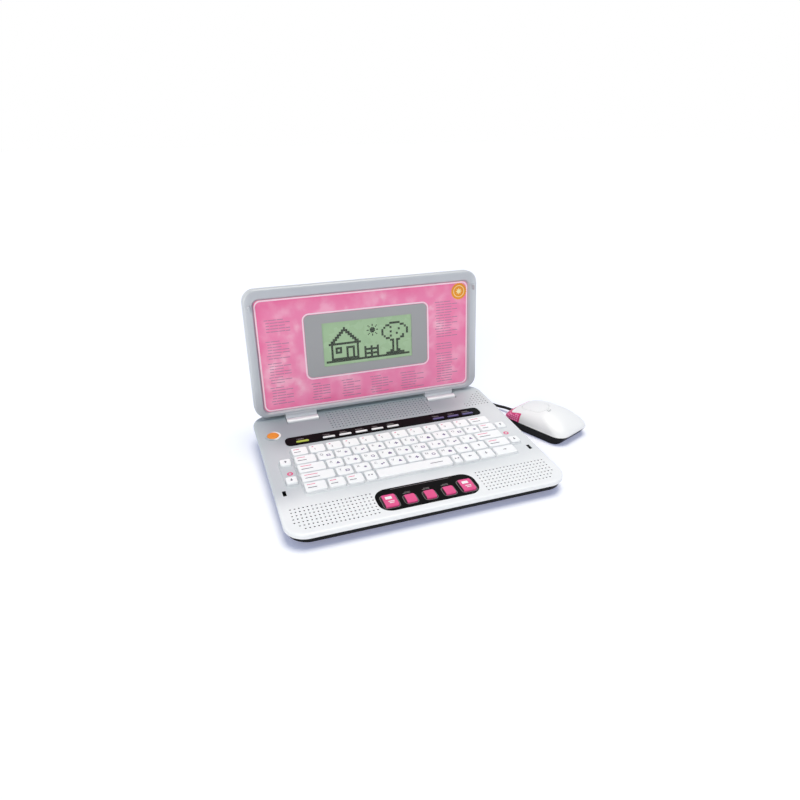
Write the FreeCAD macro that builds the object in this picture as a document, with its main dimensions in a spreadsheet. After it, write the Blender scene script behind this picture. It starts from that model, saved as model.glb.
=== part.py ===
"""A toy laptop computer with a hinged lid, a keyboard, a corded mouse and the pieces inside."""
import FreeCAD, Part
import math
import os
from types import SimpleNamespace

import Sketcher

Vector = FreeCAD.Vector

# Driving sizes, in millimetres and degrees, and in key units where the name says so.
SIZES = {
    # Keyboard: the pitch of the keys sets the width of the whole base.
    "key_pitch": 18.95,
    "row_pitch": 16.5,
    "key_gap": 1.9,
    "key_corner": 2.2,
    "key_rise": 3.6,
    "key_taper": 9.0,
    "key_edge_bevel": 0.5,
    "key_travel": 1.8,
    "key_clearance": 0.35,
    "key_flange": 0.8,
    "key_flange_thickness": 1.0,
    "row_units": 12.33,
    "keyboard_shift": 0.8,
    "tab_units": 1.28,
    "caps_units": 1.6,
    "shift_units": 1.9,
    "control_units": 1.25,
    "round_key_units": 0.68,
    "space_units": 4.4,
    "mark_key_units": 0.6,
    "side_key_width": 11.5,
    "side_key_depth": 11.5,
    "side_key_gap": 2.2,
    "side_key_spacing": 33.0,
    "plinth_margin": 1.9,
    "plinth_rise": 1.2,
    "plinth_slope": 35.0,
    # Base: the depth is the sum of the zones from the front edge to the rear edge.
    "side_margin": 14.5,
    "palm_depth": 56.2,
    "strip_gap": 7.9,
    "strip_depth": 17.5,
    "strip_to_hinge": 38.5,
    "hinge_to_rear": 21.5,
    "corner_radius": 21.0,
    "deck_height": 22.5,
    "deck_slope": 2.8,
    "deck_skin": 2.4,
    "deck_edge_round": 2.2,
    "lip_height": 5.0,
    "wall": 2.4,
    "rim_height": 4.5,
    "rim_side_inset": 3.0,
    "rim_front_inset": 0.6,
    "belly_inset": 15.0,
    "floor_thickness": 2.6,
    "foot_rise": 2.0,
    "foot_diameter": 14.0,
    "foot_recess": 0.8,
    "foot_inset": 24.0,
    "foot_round": 0.8,
    "inner_clearance": 0.3,
    "fit_gap": 0.15,
    # Function strip and its bar keys.
    "strip_margin": 1.2,
    "strip_corner": 6.0,
    "strip_rise": 0.6,
    "plate_bevel": 0.3,
    "inset_depth": 1.0,
    "bar_length": 14.0,
    "bar_depth": 3.0,
    "bar_rise": 0.7,
    "bar_bevel": 0.3,
    "bar_shift": -3.2,
    "mode_bar_offset": -98.6,
    "first_activity_bar": -68.8,
    "first_player_bar": 64.0,
    # Front panel and its five buttons.
    "panel_width": 105.0,
    "panel_depth": 34.0,
    "panel_corner": 13.0,
    "panel_front_margin": 8.0,
    "large_button_width": 14.5,
    "large_button_depth": 18.5,
    "large_button_spacing": 80.4,
    "small_button_width": 11.5,
    "small_button_depth": 12.5,
    "small_button_spacing": 20.1,
    "large_button_shift": -3.5,
    "small_button_shift": -6.0,
    "button_shift": -2.0,
    "button_corner": 2.4,
    "button_rise": 1.9,
    "button_bevel": 0.7,
    # Power button, latch slots and hinge.
    "power_diameter": 13.0,
    "power_rise": 1.6,
    "power_round": 1.0,
    "power_ring": 2.0,
    "power_ring_rise": 0.8,
    "power_inset": 17.2,
    "power_from_hinge": 29.5,
    "latch_inset": 10.0,
    "latch_reach": 138.5,
    "slot_width": 3.6,
    "slot_depth": 8.4,
    "slot_corner": 0.6,
    "hook_clearance": 0.7,
    "hook_height": 6.2,
    "hook_corner": 0.4,
    "hinge_drop": 4.5,
    "hinge_offset": 88.0,
    "knuckle_length": 37.0,
    "knuckle_radius": 6.5,
    "hinge_clearance": 0.6,
    "pin_diameter": 4.0,
    "pin_clearance": 0.05,
    "pin_boss": 4.6,
    "web_drop": 3.0,
    # Lid.
    "lid_tilt": 8.0,
    "lid_side_inset": 4.3,
    "lid_overhang": 10.0,
    "lid_lift": 8.5,
    "lid_face_offset": 6.6,
    "lid_frame_depth": 7.0,
    "lid_cover_depth": 7.0,
    "lid_skin": 1.8,
    "lid_corner": 15.0,
    "lid_edge_round": 2.6,
    "cover_edge_round": 4.5,
    "rim_side": 11.4,
    "rim_top": 12.3,
    "rim_bottom": 6.3,
    "recess_depth": 3.5,
    "recess_slope": 30.0,
    "inlay_corner": 6.0,
    "inlay_thickness": 0.8,
    "window_width": 150.4,
    "window_height": 74.8,
    "window_corner": 6.0,
    "window_centre": 86.5,
    "window_ledge": 3.0,
    "mask_thickness": 1.0,
    "lcd_width": 110.0,
    "lcd_height": 52.0,
    "lcd_border": 6.0,
    "lcd_thickness": 2.8,
    # Pieces inside the base.
    "membrane_thickness": 1.2,
    "board_thickness": 1.6,
    "sheet_overlap": 2.0,
    "speaker_diameter": 36.0,
    "basket_diameter": 32.4,
    "speaker_depth": 7.0,
    "speaker_gap": 24.0,
    "speaker_taper": 30.0,
    "cell_diameter": 14.5,
    "cell_length": 50.5,
    "cell_gap": 1.0,
    "nub_diameter": 5.5,
    "nub_length": 1.2,
    "contact_thickness": 0.6,
    "contact_width": 10.0,
    "bay_wall": 1.6,
    "bay_height": 11.0,
    "door_thickness": 1.6,
    "door_margin": 3.0,
    "door_tab": 11.0,
    "post_diameter": 8.0,
    "post_inset": 25.0,
    "boss_length": 5.0,
    "screw_diameter": 3.0,
    "screw_head_diameter": 5.6,
    "screw_head_height": 2.0,
    "screw_tip_gap": 1.0,
    # Mouse and its cord.
    "mouse_x": 197.9,
    "mouse_y": 18.0,
    "mouse_heading": 23.0,
    "mouse_length": 86.0,
    "mouse_width": 59.5,
    "mouse_height": 30.0,
    "mouse_corner": 14.0,
    "mouse_nose_corner": 7.5,
    "mouse_floor_corner": 9.0,
    "mouse_side_tuck": 0.3,
    "mouse_end_tuck": 7.0,
    "mouse_foot_rise": 0.8,
    "mouse_foot_width": 30.0,
    "mouse_foot_depth": 7.0,
    "mouse_foot_spacing": 50.0,
    "mouse_tub_height": 9.5,
    "mouse_wall": 2.0,
    "mouse_board_gap": 3.0,
    "nose_length": 24.0,
    "nose_side": 4.5,
    "nose_front": 8.0,
    "mouse_button_width": 22.0,
    "mouse_button_length": 33.0,
    "mouse_button_side": 7.0,
    "mouse_button_offset": 12.0,
    "mouse_button_thickness": 13.0,
    "cord_diameter": 3.5,
    "boot_length": 9.0,
    "boot_diameter": 6.5,
    "boot_taper": 4.0,
    "grommet_offset": 96.0,
    "grommet_diameter": 8.0,
    "grommet_length": 14.0,
    "grommet_reach": 4.0,
    "grommet_drop": 10.0,
}

doc = FreeCAD.newDocument("ToyLaptop")
sheet = doc.addObject("Spreadsheet::Sheet", "Sizes")
for row, (name, number) in enumerate(SIZES.items(), start=1):
    sheet.set(f"A{row}", name)
    sheet.set(f"B{row}", str(number))
    sheet.setAlias(f"B{row}", name)
doc.recompute()


class Size:
    """A number together with the sheet formula that gives it."""

    def __init__(self, value, formula):
        self.value = value
        self.formula = formula

    @staticmethod
    def of(other):
        return other if isinstance(other, Size) else Size(float(other), repr(float(other)))

    def __add__(self, other):
        other = Size.of(other)
        return Size(self.value + other.value, f"({self.formula} + {other.formula})")

    def __sub__(self, other):
        other = Size.of(other)
        return Size(self.value - other.value, f"({self.formula} - {other.formula})")

    def __mul__(self, other):
        other = Size.of(other)
        return Size(self.value * other.value, f"({self.formula} * {other.formula})")

    def __truediv__(self, other):
        other = Size.of(other)
        return Size(self.value / other.value, f"({self.formula} / {other.formula})")

    def __neg__(self):
        return self * -1

    def __rsub__(self, other):
        return Size.of(other) - self

    __radd__ = __add__
    __rmul__ = __mul__


def sine(angle):
    return Size(math.sin(math.radians(angle.value)), f"sin({angle.formula} * 1 deg)")


def cosine(angle):
    return Size(math.cos(math.radians(angle.value)), f"cos({angle.formula} * 1 deg)")


S = SimpleNamespace(**{name: Size(float(sheet.get(name)), f"Sizes.{name}") for name in SIZES})
ZERO = Size.of(0)

# Layout of the deck, measured from its centre: x to the right, y towards the hinge, z up from its surface.
block_width = S.row_units * S.key_pitch
block_left = S.keyboard_shift - block_width / 2
side_key_x = block_width / 2 + S.side_key_gap + S.side_key_width / 2
base_width = 2 * (side_key_x + S.side_key_width / 2 + S.side_margin)
plinth_depth = 5 * S.row_pitch - S.key_gap + 2 * S.plinth_margin
strip_to_front = S.palm_depth + plinth_depth + S.strip_gap
base_depth = strip_to_front + S.strip_depth + S.strip_to_hinge + S.hinge_to_rear
front_y = -base_depth / 2
rear_y = base_depth / 2
bottom_row_y = front_y + S.palm_depth + S.plinth_margin + (S.row_pitch - S.key_gap) / 2
middle_row_y = bottom_row_y + 2 * S.row_pitch
strip_y = front_y + strip_to_front + S.strip_depth / 2
panel_y = front_y + S.panel_front_margin + S.panel_depth / 2
hinge_y = rear_y - S.hinge_to_rear
latch_x = base_width / 2 - S.latch_inset
latch_y = hinge_y - S.latch_reach

# Heights below the deck's surface, where the keys, the membrane and the board lie.
flange_top = -(S.deck_skin + S.inner_clearance)
flange_bottom = flange_top - S.key_flange_thickness
membrane_top = flange_bottom - S.key_travel - S.inner_clearance
membrane_bottom = membrane_top - S.membrane_thickness
board_bottom = membrane_bottom - S.board_thickness

# Frames of the three rigid groups: where each starts, its turning axis and its angle.
DECK = ((ZERO, ZERO, S.deck_height), (1, 0, 0), S.deck_slope)
LID = (
    (
        ZERO,
        hinge_y * cosine(S.deck_slope) + S.hinge_drop * sine(S.deck_slope),
        S.deck_height + hinge_y * sine(S.deck_slope) - S.hinge_drop * cosine(S.deck_slope),
    ),
    (1, 0, 0),
    S.deck_slope + 90 - S.lid_tilt,
)
TABLE = ((ZERO, ZERO, ZERO), (0, 0, 1), ZERO)
MOUSE = ((S.mouse_x, S.mouse_y, ZERO), (0, 0, 1), S.mouse_heading)

subparts = []


def place(item, frame):
    """Puts an item in its group's frame and keeps it there when a size changes."""
    base, axis, angle = frame
    item.Placement = FreeCAD.Placement(
        Vector(*[part.value for part in base]), FreeCAD.Rotation(Vector(*axis), angle.value)
    )
    for name, part in zip("xyz", base):
        item.setExpression(f"Placement.Base.{name}", part.formula)
    if angle is not ZERO:
        item.setExpression("Placement.Rotation.Angle", angle.formula)


def new_body(label, frame):
    body = doc.addObject("PartDesign::Body", label)
    body.Label = label
    place(body, frame)
    subparts.append(body)
    return body


def helper_body(label, frame):
    """A body that is part of another piece and is not written by itself."""
    body = doc.addObject("PartDesign::Body", label)
    place(body, frame)
    return body


def origin_plane(body, role):
    return next(item for item in body.Origin.OriginFeatures if item.Role == role)


def new_sketch(body, x, y, z, role="XY_Plane", tilt=None):
    """An empty sketch on one of the body's own planes, moved by x, y and z along the sketch's axes."""
    sketch = body.newObject("Sketcher::SketchObject", "Profile")
    sketch.AttachmentSupport = [(origin_plane(body, role), "")]
    sketch.MapMode = "FlatFace"
    if tilt is not None:
        sketch.AttachmentOffset = FreeCAD.Placement(Vector(), FreeCAD.Rotation(Vector(1, 0, 0), tilt.value))
        sketch.setExpression("AttachmentOffset.Rotation.Angle", tilt.formula)
    for name, part in zip("xyz", (x, y, z)):
        sketch.setExpression(f"AttachmentOffset.Base.{name}", Size.of(part).formula)
    return sketch


def bind_constraint(sketch, constraint, name, size):
    index = sketch.addConstraint(constraint)
    sketch.renameConstraint(index, name)
    sketch.setExpression(f"Constraints.{name}", size.formula)


def draw_rounded_rectangle(sketch, width, depth, radius, far_radius=None):
    """A rectangle with round corners, centred on the sketch's origin; its far corners may differ."""
    width, depth, radius = Size.of(width), Size.of(depth), Size.of(radius)
    far_radius = radius if far_radius is None else far_radius
    right, back = width.value / 2, depth.value / 2
    first = sketch.GeometryCount
    corners = ((1, -1, radius), (1, 1, far_radius), (-1, 1, far_radius), (-1, -1, radius))
    ends = []
    for index, (sx, sy, size) in enumerate(corners):
        corner = size.value
        centre = Vector(sx * (right - corner), sy * (back - corner), 0)
        start = -math.pi / 2 + index * math.pi / 2
        circle = Part.Circle(centre, Vector(0, 0, 1), corner)
        sketch.addGeometry(Part.ArcOfCircle(circle, start, start + math.pi / 2), False)
        ends.append((circle.value(start), circle.value(start + math.pi / 2)))
    for index in range(4):
        sketch.addGeometry(Part.LineSegment(ends[index][1], ends[(index + 1) % 4][0]), False)
    arcs = [first + index for index in range(4)]
    lines = [first + 4 + index for index in range(4)]
    constraints = []
    for index in range(4):
        following = arcs[(index + 1) % 4]
        constraints.append(Sketcher.Constraint("Tangent", arcs[index], 2, lines[index], 1))
        constraints.append(Sketcher.Constraint("Tangent", lines[index], 2, following, 1))
        constraints.append(Sketcher.Constraint("Vertical" if index % 2 == 0 else "Horizontal", lines[index]))
    constraints.append(Sketcher.Constraint("Equal", arcs[0], arcs[3]))
    constraints.append(Sketcher.Constraint("Equal", arcs[1], arcs[2]))
    sketch.addConstraint(constraints)
    across = Sketcher.Constraint("DistanceX", lines[2], 1, lines[0], 1, width.value)
    along = Sketcher.Constraint("DistanceY", lines[3], 1, lines[1], 1, depth.value)
    beside = Sketcher.Constraint("DistanceX", -1, 1, lines[0], 1, right)
    ahead = Sketcher.Constraint("DistanceY", -1, 1, lines[1], 1, back)
    bind_constraint(sketch, across, "width", width)
    bind_constraint(sketch, along, "depth", depth)
    bind_constraint(sketch, beside, "half_width", width / 2)
    bind_constraint(sketch, ahead, "half_depth", depth / 2)
    bind_constraint(sketch, Sketcher.Constraint("Radius", arcs[0], radius.value), "radius", radius)
    bind_constraint(sketch, Sketcher.Constraint("Radius", arcs[1], far_radius.value), "far_radius", far_radius)


def rectangle(body, x, y, z, width, depth, radius, role="XY_Plane", tilt=None, far_radius=None):
    sketch = new_sketch(body, x, y, z, role, tilt)
    draw_rounded_rectangle(sketch, width, depth, radius, far_radius)
    return sketch


def disc(body, x, y, z, diameter, role="XY_Plane", tilt=None):
    diameter = Size.of(diameter)
    sketch = new_sketch(body, x, y, z, role, tilt)
    sketch.addGeometry(Part.Circle(Vector(), Vector(0, 0, 1), diameter.value / 2), False)
    sketch.addConstraint(Sketcher.Constraint("Coincident", 0, 3, -1, 1))
    bind_constraint(sketch, Sketcher.Constraint("Diameter", 0, diameter.value), "diameter", diameter)
    return sketch


def pad(body, sketch, length, taper=None, reverse=False):
    feature = body.newObject("PartDesign::Pad", "Pad")
    feature.Profile = sketch
    feature.Reversed = reverse
    feature.setExpression("Length", Size.of(length).formula)
    if taper is not None:
        feature.setExpression("TaperAngle", taper.formula)
    doc.recompute()
    return feature


def pocket(body, sketch, depth, taper=None, reverse=False):
    """Cuts a sketch into the body, down from the sketch or, in reverse, up from it."""
    before = body.Shape.Volume
    feature = body.newObject("PartDesign::Pocket", "Pocket")
    feature.Profile = sketch
    feature.Reversed = reverse
    feature.setExpression("Length", Size.of(depth).formula)
    if taper is not None:
        feature.setExpression("TaperAngle", taper.formula)
    doc.recompute()
    if feature.Shape.Volume > before - 0.01:
        raise RuntimeError(f"a pocket of {body.Label} cut nothing")
    return feature


def loft(body, sketches, cut=False):
    kind = "PartDesign::SubtractiveLoft" if cut else "PartDesign::AdditiveLoft"
    feature = body.newObject(kind, "Loft")
    feature.Profile = sketches[0]
    feature.Sections = sketches[1:]
    doc.recompute()
    return feature


def repeat(body, features, pitch, count):
    """Repeats features in a row along the first one's sketch axis."""
    pattern = body.newObject("PartDesign::LinearPattern", "Row")
    pattern.Originals = features
    pattern.Direction = (features[0].Profile[0], ["H_Axis"])
    pattern.setExpression("Length", (pitch * (count - 1)).formula)
    pattern.Occurrences = count
    body.Tip = pattern
    doc.recompute()
    return pattern


def combine(kind, label, base, tool):
    item = doc.addObject(f"Part::{kind}", label)
    item.Base = base
    item.Tool = tool
    doc.recompute()
    return item


def compound(label, bodies):
    item = doc.addObject("Part::Compound", label)
    item.Links = bodies
    return item


def edges_where(shape, test):
    return [f"Edge{index}" for index, edge in enumerate(shape.Edges, start=1) if test(edge)]


def round_edges(body, test, radius, kind="Fillet", prop="Radius"):
    """Rounds or bevels the edges of the body's last feature that pass the test."""
    tip = body.Tip
    feature = body.newObject(f"PartDesign::{kind}", kind)
    feature.Base = (tip, edges_where(tip.Shape, test))
    feature.setExpression(prop, radius.formula)
    doc.recompute()
    return feature


def level(height):
    """A test for edges that lie flat at one height."""
    def test(edge):
        box = edge.BoundBox
        return abs(box.ZMin - height.value) < 1e-4 and abs(box.ZMax - height.value) < 1e-4
    return test


# Keys: each is a tapered cap on a wider flange that the deck holds down.
key_depth = S.row_pitch - S.key_gap


def row_y(row):
    """The middle of a row of keys, counted from the row next to the palm rest."""
    return bottom_row_y + row * S.row_pitch


def key_x(units_before, units):
    """The middle of a key that starts a number of key units from the left end of its row."""
    return block_left + (units_before + Size.of(units) / 2) * S.key_pitch


def key_width(units):
    return Size.of(units) * S.key_pitch - S.key_gap


def press_cap(body, x, y, width, depth, corner, rise, bevel, taper=None):
    """A cap that stands above the deck, with a flange under the deck and a bevelled top edge."""
    flange_width = width + 2 * S.key_flange
    flange_depth = depth + 2 * S.key_flange
    flange = rectangle(body, x, y, flange_bottom, flange_width, flange_depth, corner)
    pad(body, flange, S.key_flange_thickness)
    straight = rectangle(body, x, y, flange_top, width, depth, corner)
    shoulder = S.plinth_rise - flange_top if taper is not None else rise - flange_top
    pad(body, straight, shoulder)
    if taper is not None:
        crown = rectangle(body, x, y, S.plinth_rise, width, depth, corner)
        pad(body, crown, rise - S.plinth_rise, taper=-taper)
    round_edges(body, level(rise), bevel, "Chamfer", "Size")


def keycap(body, x, y, width, depth=key_depth):
    press_cap(body, x, y, width, depth, S.key_corner, S.key_rise, S.key_edge_bevel, S.key_taper)


# Every key of the keyboard: node, middle across and along, width, depth, how many stand at the key pitch.
row_end = S.row_units
caps_row_end = S.caps_units + 9
shift_row_end = S.shift_units + 9
upper_row_end = S.tab_units + 10
round_key_start = S.control_units + 2
space_start = round_key_start + S.round_key_units
mark_key_start = space_start + S.space_units
arrows_start = mark_key_start + S.mark_key_units
last_arrow_start = arrows_start + 2
KEYS = [
    ("escape_key", key_x(ZERO, 1), row_y(4), key_width(1), key_depth, 1),
    ("number_keys", key_x(Size.of(1), 1), row_y(4), key_width(1), key_depth, 10),
    ("backspace_key", key_x(Size.of(11), row_end - 11), row_y(4), key_width(row_end - 11), key_depth, 1),
    ("tab_key", key_x(ZERO, S.tab_units), row_y(3), key_width(S.tab_units), key_depth, 1),
    ("upper_letter_keys", key_x(S.tab_units, 1), row_y(3), key_width(1), key_depth, 10),
    ("delete_key", key_x(upper_row_end, row_end - upper_row_end), row_y(3),
     key_width(row_end - upper_row_end), key_depth, 1),
    ("caps_key", key_x(ZERO, S.caps_units), row_y(2), key_width(S.caps_units), key_depth, 1),
    ("middle_letter_keys", key_x(S.caps_units, 1), row_y(2), key_width(1), key_depth, 9),
    ("enter_key", key_x(caps_row_end, row_end - caps_row_end), row_y(2),
     key_width(row_end - caps_row_end), key_depth, 1),
    ("left_shift_key", key_x(ZERO, S.shift_units), row_y(1), key_width(S.shift_units), key_depth, 1),
    ("lower_letter_keys", key_x(S.shift_units, 1), row_y(1), key_width(1), key_depth, 8),
    ("arrow_keys", key_x(S.shift_units + 8, 1), row_y(1), key_width(1), key_depth, 1),
    ("right_shift_key", key_x(shift_row_end, row_end - shift_row_end), row_y(1),
     key_width(row_end - shift_row_end), key_depth, 1),
    ("control_key", key_x(ZERO, S.control_units), row_y(0), key_width(S.control_units), key_depth, 1),
    ("bottom_row_keys", key_x(S.control_units, 1), row_y(0), key_width(1), key_depth, 2),
    ("bottom_row_keys", key_x(round_key_start, S.round_key_units), row_y(0),
     key_width(S.round_key_units), key_depth, 1),
    ("bottom_row_keys", key_x(mark_key_start, S.mark_key_units), row_y(0),
     key_width(S.mark_key_units), key_depth, 1),
    ("space_bar", key_x(space_start, S.space_units), row_y(0), key_width(S.space_units), key_depth, 1),
    ("arrow_keys", key_x(arrows_start, 1), row_y(0), key_width(1), key_depth, 2),
    ("arrow_keys", key_x(last_arrow_start, row_end - last_arrow_start), row_y(0),
     key_width(row_end - last_arrow_start), key_depth, 1),
]
for node, side in (("left_side_keys", -1), ("right_side_keys", 1)):
    for place_along in (-1, 1):
        along = middle_row_y + place_along * S.side_key_spacing / 2
        KEYS.append((node, side * side_key_x, along, S.side_key_width, S.side_key_depth, 1))

# Bars of the function strip: node, first bar's middle and how many stand at the key pitch.
BARS = [
    ("mode_bar_key", S.mode_bar_offset, 1),
    ("activity_bar_keys", S.first_activity_bar, 5),
    ("player_bar_keys", S.first_player_bar, 3),
]

# Buttons of the front panel: node, middle across, middle along, width and depth.
BUTTONS = []
for node, side in (("left_large_button", -1), ("right_large_button", 1)):
    across = S.button_shift + side * S.large_button_spacing / 2
    along = panel_y + S.large_button_shift
    BUTTONS.append((node, across, along, S.large_button_width, S.large_button_depth))
for node, side in (("left_small_button", -1), ("middle_small_button", 0), ("right_small_button", 1)):
    across = S.button_shift + side * S.small_button_spacing
    along = panel_y + S.small_button_shift
    BUTTONS.append((node, across, along, S.small_button_width, S.small_button_depth))

bar_corner = S.bar_depth / 2 - S.key_clearance
bar_hole_corner = bar_corner + S.key_clearance
strip_width = block_width + 2 * S.strip_margin
power_x = -(base_width / 2 - S.power_inset)
power_y = hinge_y - S.power_from_hinge


# Hinge, lid and case: sizes that several pieces share.
notch_width = S.knuckle_length + 2 * S.hinge_clearance
notch_front = hinge_y - S.knuckle_radius - S.hinge_clearance
notch_rear = hinge_y + S.lid_face_offset + S.lid_frame_depth + 2 * S.hinge_clearance
notch_y = (notch_front + notch_rear) / 2
notch_depth = notch_rear - notch_front
pin_length = notch_width + 2 * S.pin_boss
hook_width = S.slot_width - 2 * S.hook_clearance
hook_depth = S.slot_depth - 4 * S.hook_clearance
lid_width = base_width - 2 * S.lid_side_inset
lid_reach = S.strip_to_hinge + S.strip_depth + S.strip_gap + plinth_depth + S.lid_overhang
lid_height = lid_reach - S.lid_lift
lid_middle = (lid_reach + S.lid_lift) / 2
inlay_width = lid_width - 2 * S.rim_side
inlay_height = lid_height - S.rim_top - S.rim_bottom
inlay_middle = lid_middle + (S.rim_bottom - S.rim_top) / 2
LID_POSTS = [
    (side * (lid_width / 2 - S.rim_side / 2 - S.wall / 2), lid_middle + end * lid_height / 4)
    for side in (-1, 1)
    for end in (-1, 1)
]
rim_width = base_width - 2 * S.rim_side_inset
rim_depth = base_depth - 2 * S.rim_front_inset
rim_corner = S.corner_radius - S.rim_front_inset
belly_width = rim_width - 2 * S.belly_inset
belly_depth = rim_depth - 2 * S.belly_inset
belly_corner = rim_corner - S.rim_side_inset
POSTS = [
    (side * (base_width / 2 - S.post_inset), end * (base_depth / 2 - S.post_inset))
    for side in (-1, 1)
    for end in (-1, 1)
]
FEET = [
    (side * (belly_width / 2 - S.foot_inset), end * (belly_depth / 2 - S.foot_inset))
    for side in (-1, 1)
    for end in (-1, 1)
] + [(ZERO, ZERO)]
bay_width = 2 * (S.cell_length + S.contact_thickness + 2 * S.fit_gap)
bay_depth = 2 * (S.cell_diameter + S.cell_gap) + S.cell_gap
bay_y = belly_depth / 2 - S.door_margin - S.door_margin - bay_depth / 2
door_width = bay_width + 2 * S.door_tab
door_depth = bay_depth + 2 * S.door_margin
door_screw_x = bay_width / 2 + S.door_tab / 2
grommet_end_y = rear_y + S.grommet_reach
grommet_z = S.deck_height + rear_y * sine(S.deck_slope) - S.lip_height - S.grommet_drop
mouse_seam = S.mouse_foot_rise + S.mouse_tub_height
boot_z = S.mouse_foot_rise + S.mouse_tub_height / 2


def repeat_whole(body, count):
    """Repeats everything in the body at the key pitch, to the right."""
    if count == 1:
        return
    pattern = body.newObject("PartDesign::LinearPattern", "Row")
    pattern.TransformMode = "Whole shape"
    pattern.Direction = (origin_plane(body, "X_Axis"), [""])
    pattern.setExpression("Length", (S.key_pitch * (count - 1)).formula)
    pattern.Occurrences = count
    body.Tip = pattern
    doc.recompute()


def make_keys():
    """The keycaps, row by row, with the keys of one row that are alike sharing a node."""
    groups = {}
    for node, x, y, width, depth, count in KEYS:
        group = groups.setdefault(node, [])
        body = helper_body(f"{node}_{len(group)}", DECK)
        keycap(body, x, y, width, depth)
        repeat_whole(body, count)
        group.append(body)
    for node, group in groups.items():
        item = group[0]
        if len(group) > 1:
            item = compound(f"{node}_group", group)
        item.Label = node
        subparts.append(item)
    doc.recompute()


def make_bar_keys():
    """Bar-shaped keys of the function strip."""
    for node, x, count in BARS:
        body = new_body(node, DECK)
        top = S.strip_rise + S.bar_rise
        press_cap(body, x, strip_y + S.bar_shift, S.bar_length, S.bar_depth, bar_corner, top, S.bar_bevel)
        repeat_whole(body, count)


def make_panel_buttons():
    """The five square buttons of the front panel."""
    for node, x, y, width, depth in BUTTONS:
        body = new_body(node, DECK)
        top = S.strip_rise + S.button_rise
        press_cap(body, x, y, width, depth, S.button_corner, top, S.button_bevel)


def make_power_button():
    """A round button with a flange under the deck and a rounded rim."""
    body = new_body("power_button", DECK)
    flange = disc(body, power_x, power_y, flange_bottom, S.power_diameter + 2 * S.key_flange)
    pad(body, flange, S.key_flange_thickness)
    cap = disc(body, power_x, power_y, flange_top, S.power_diameter)
    pad(body, cap, S.power_rise - flange_top)
    round_edges(body, level(S.power_rise), S.power_round)


def cut_row(body, sketch, depth, count):
    """Cuts one opening through the body and repeats it at the key pitch."""
    feature = pocket(body, sketch, depth)
    if count > 1:
        repeat(body, [feature], S.key_pitch, count)


def make_deck_shell():
    """The deck before its openings: a shallow shell with raised key surrounds, hinge and screw bosses."""
    body = helper_body("deck_shell", DECK)
    outline = rectangle(body, 0, 0, -S.lip_height, base_width, base_depth, S.corner_radius)
    pad(body, outline, S.lip_height)
    round_edges(body, level(ZERO), S.deck_edge_round)
    inside_width = base_width - 2 * S.wall
    inside_depth = base_depth - 2 * S.wall
    inside = rectangle(body, 0, 0, -S.lip_height, inside_width, inside_depth, S.corner_radius - S.wall)
    pocket(body, inside, S.lip_height - S.deck_skin, reverse=True)

    plinth_corner = S.key_corner + S.plinth_margin
    block_plinth = block_width - S.key_gap + 2 * S.plinth_margin
    main = rectangle(body, S.keyboard_shift, middle_row_y, 0, block_plinth, plinth_depth, plinth_corner)
    pad(body, main, S.plinth_rise, taper=-S.plinth_slope)
    side_width = S.side_key_width + 2 * S.plinth_margin
    side_depth = S.side_key_spacing + S.side_key_depth + 2 * S.plinth_margin
    for side in (-1, 1):
        group = rectangle(body, side * side_key_x, middle_row_y, 0, side_width, side_depth, plinth_corner)
        pad(body, group, S.plinth_rise, taper=-S.plinth_slope)
    ring = disc(body, power_x, power_y, 0, S.power_diameter + 2 * S.key_clearance + 2 * S.power_ring)
    pad(body, ring, S.power_ring_rise)

    strip = rectangle(body, S.keyboard_shift, strip_y, 0, strip_width, S.strip_depth, S.strip_corner)
    pocket(body, strip, S.inset_depth)
    panel = rectangle(body, S.button_shift, panel_y, 0, S.panel_width, S.panel_depth, S.panel_corner)
    pocket(body, panel, S.inset_depth)
    through = S.plinth_rise + S.lip_height
    for side in (-1, 1):
        slot = rectangle(body, side * latch_x, latch_y, 0, S.slot_width, S.slot_depth, S.slot_corner)
        pocket(body, slot, through)
        notch = rectangle(body, side * S.hinge_offset, notch_y, 0, notch_width, notch_depth, S.slot_corner)
        pocket(body, notch, through)
        for end in (-1, 1):
            boss_x = side * S.hinge_offset + end * (notch_width + S.pin_boss) / 2
            boss = rectangle(body, boss_x, hinge_y, -S.deck_skin, S.pin_boss, 2 * S.pin_boss, S.slot_corner)
            pad(body, boss, S.hinge_drop - S.deck_skin + S.pin_boss, reverse=True)
        bore_end = side * S.hinge_offset + pin_length / 2
        bore = disc(body, hinge_y, -S.hinge_drop, bore_end, S.pin_diameter, role="YZ_Plane")
        pocket(body, bore, pin_length)
    for x, y in POSTS:
        boss = disc(body, x, y, -S.deck_skin, S.post_diameter)
        pad(body, boss, S.boss_length, reverse=True)
        hole = disc(body, x, y, -S.deck_skin - S.boss_length, S.screw_diameter, tilt=-S.deck_slope)
        pocket(body, hole, S.boss_length, reverse=True)
    return body


def make_opening_cutters():
    """One plug for each row of openings in the deck, a clearance wider than the keys that pass it."""
    gap = 2 * S.key_clearance
    bar_y = strip_y + S.bar_shift
    key_hole_corner = S.key_corner + S.key_clearance
    button_hole_corner = S.button_corner + S.key_clearance
    holes = [(x, y, width, depth, key_hole_corner, count) for _, x, y, width, depth, count in KEYS]
    holes += [(x, bar_y, S.bar_length, S.bar_depth, bar_hole_corner, count) for _, x, count in BARS]
    holes += [(x, y, width, depth, button_hole_corner, 1) for _, x, y, width, depth in BUTTONS]
    cutters = []
    height = S.lip_height + S.key_rise
    for x, y, width, depth, corner, count in holes:
        cutter = helper_body("opening", DECK)
        pad(cutter, rectangle(cutter, x, y, -S.lip_height, width + gap, depth + gap, corner), height)
        repeat_whole(cutter, count)
        cutters.append(cutter)
    cutter = helper_body("power_opening", DECK)
    pad(cutter, disc(cutter, power_x, power_y, -S.lip_height, S.power_diameter + gap), height)
    return cutters + [cutter]


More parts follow.
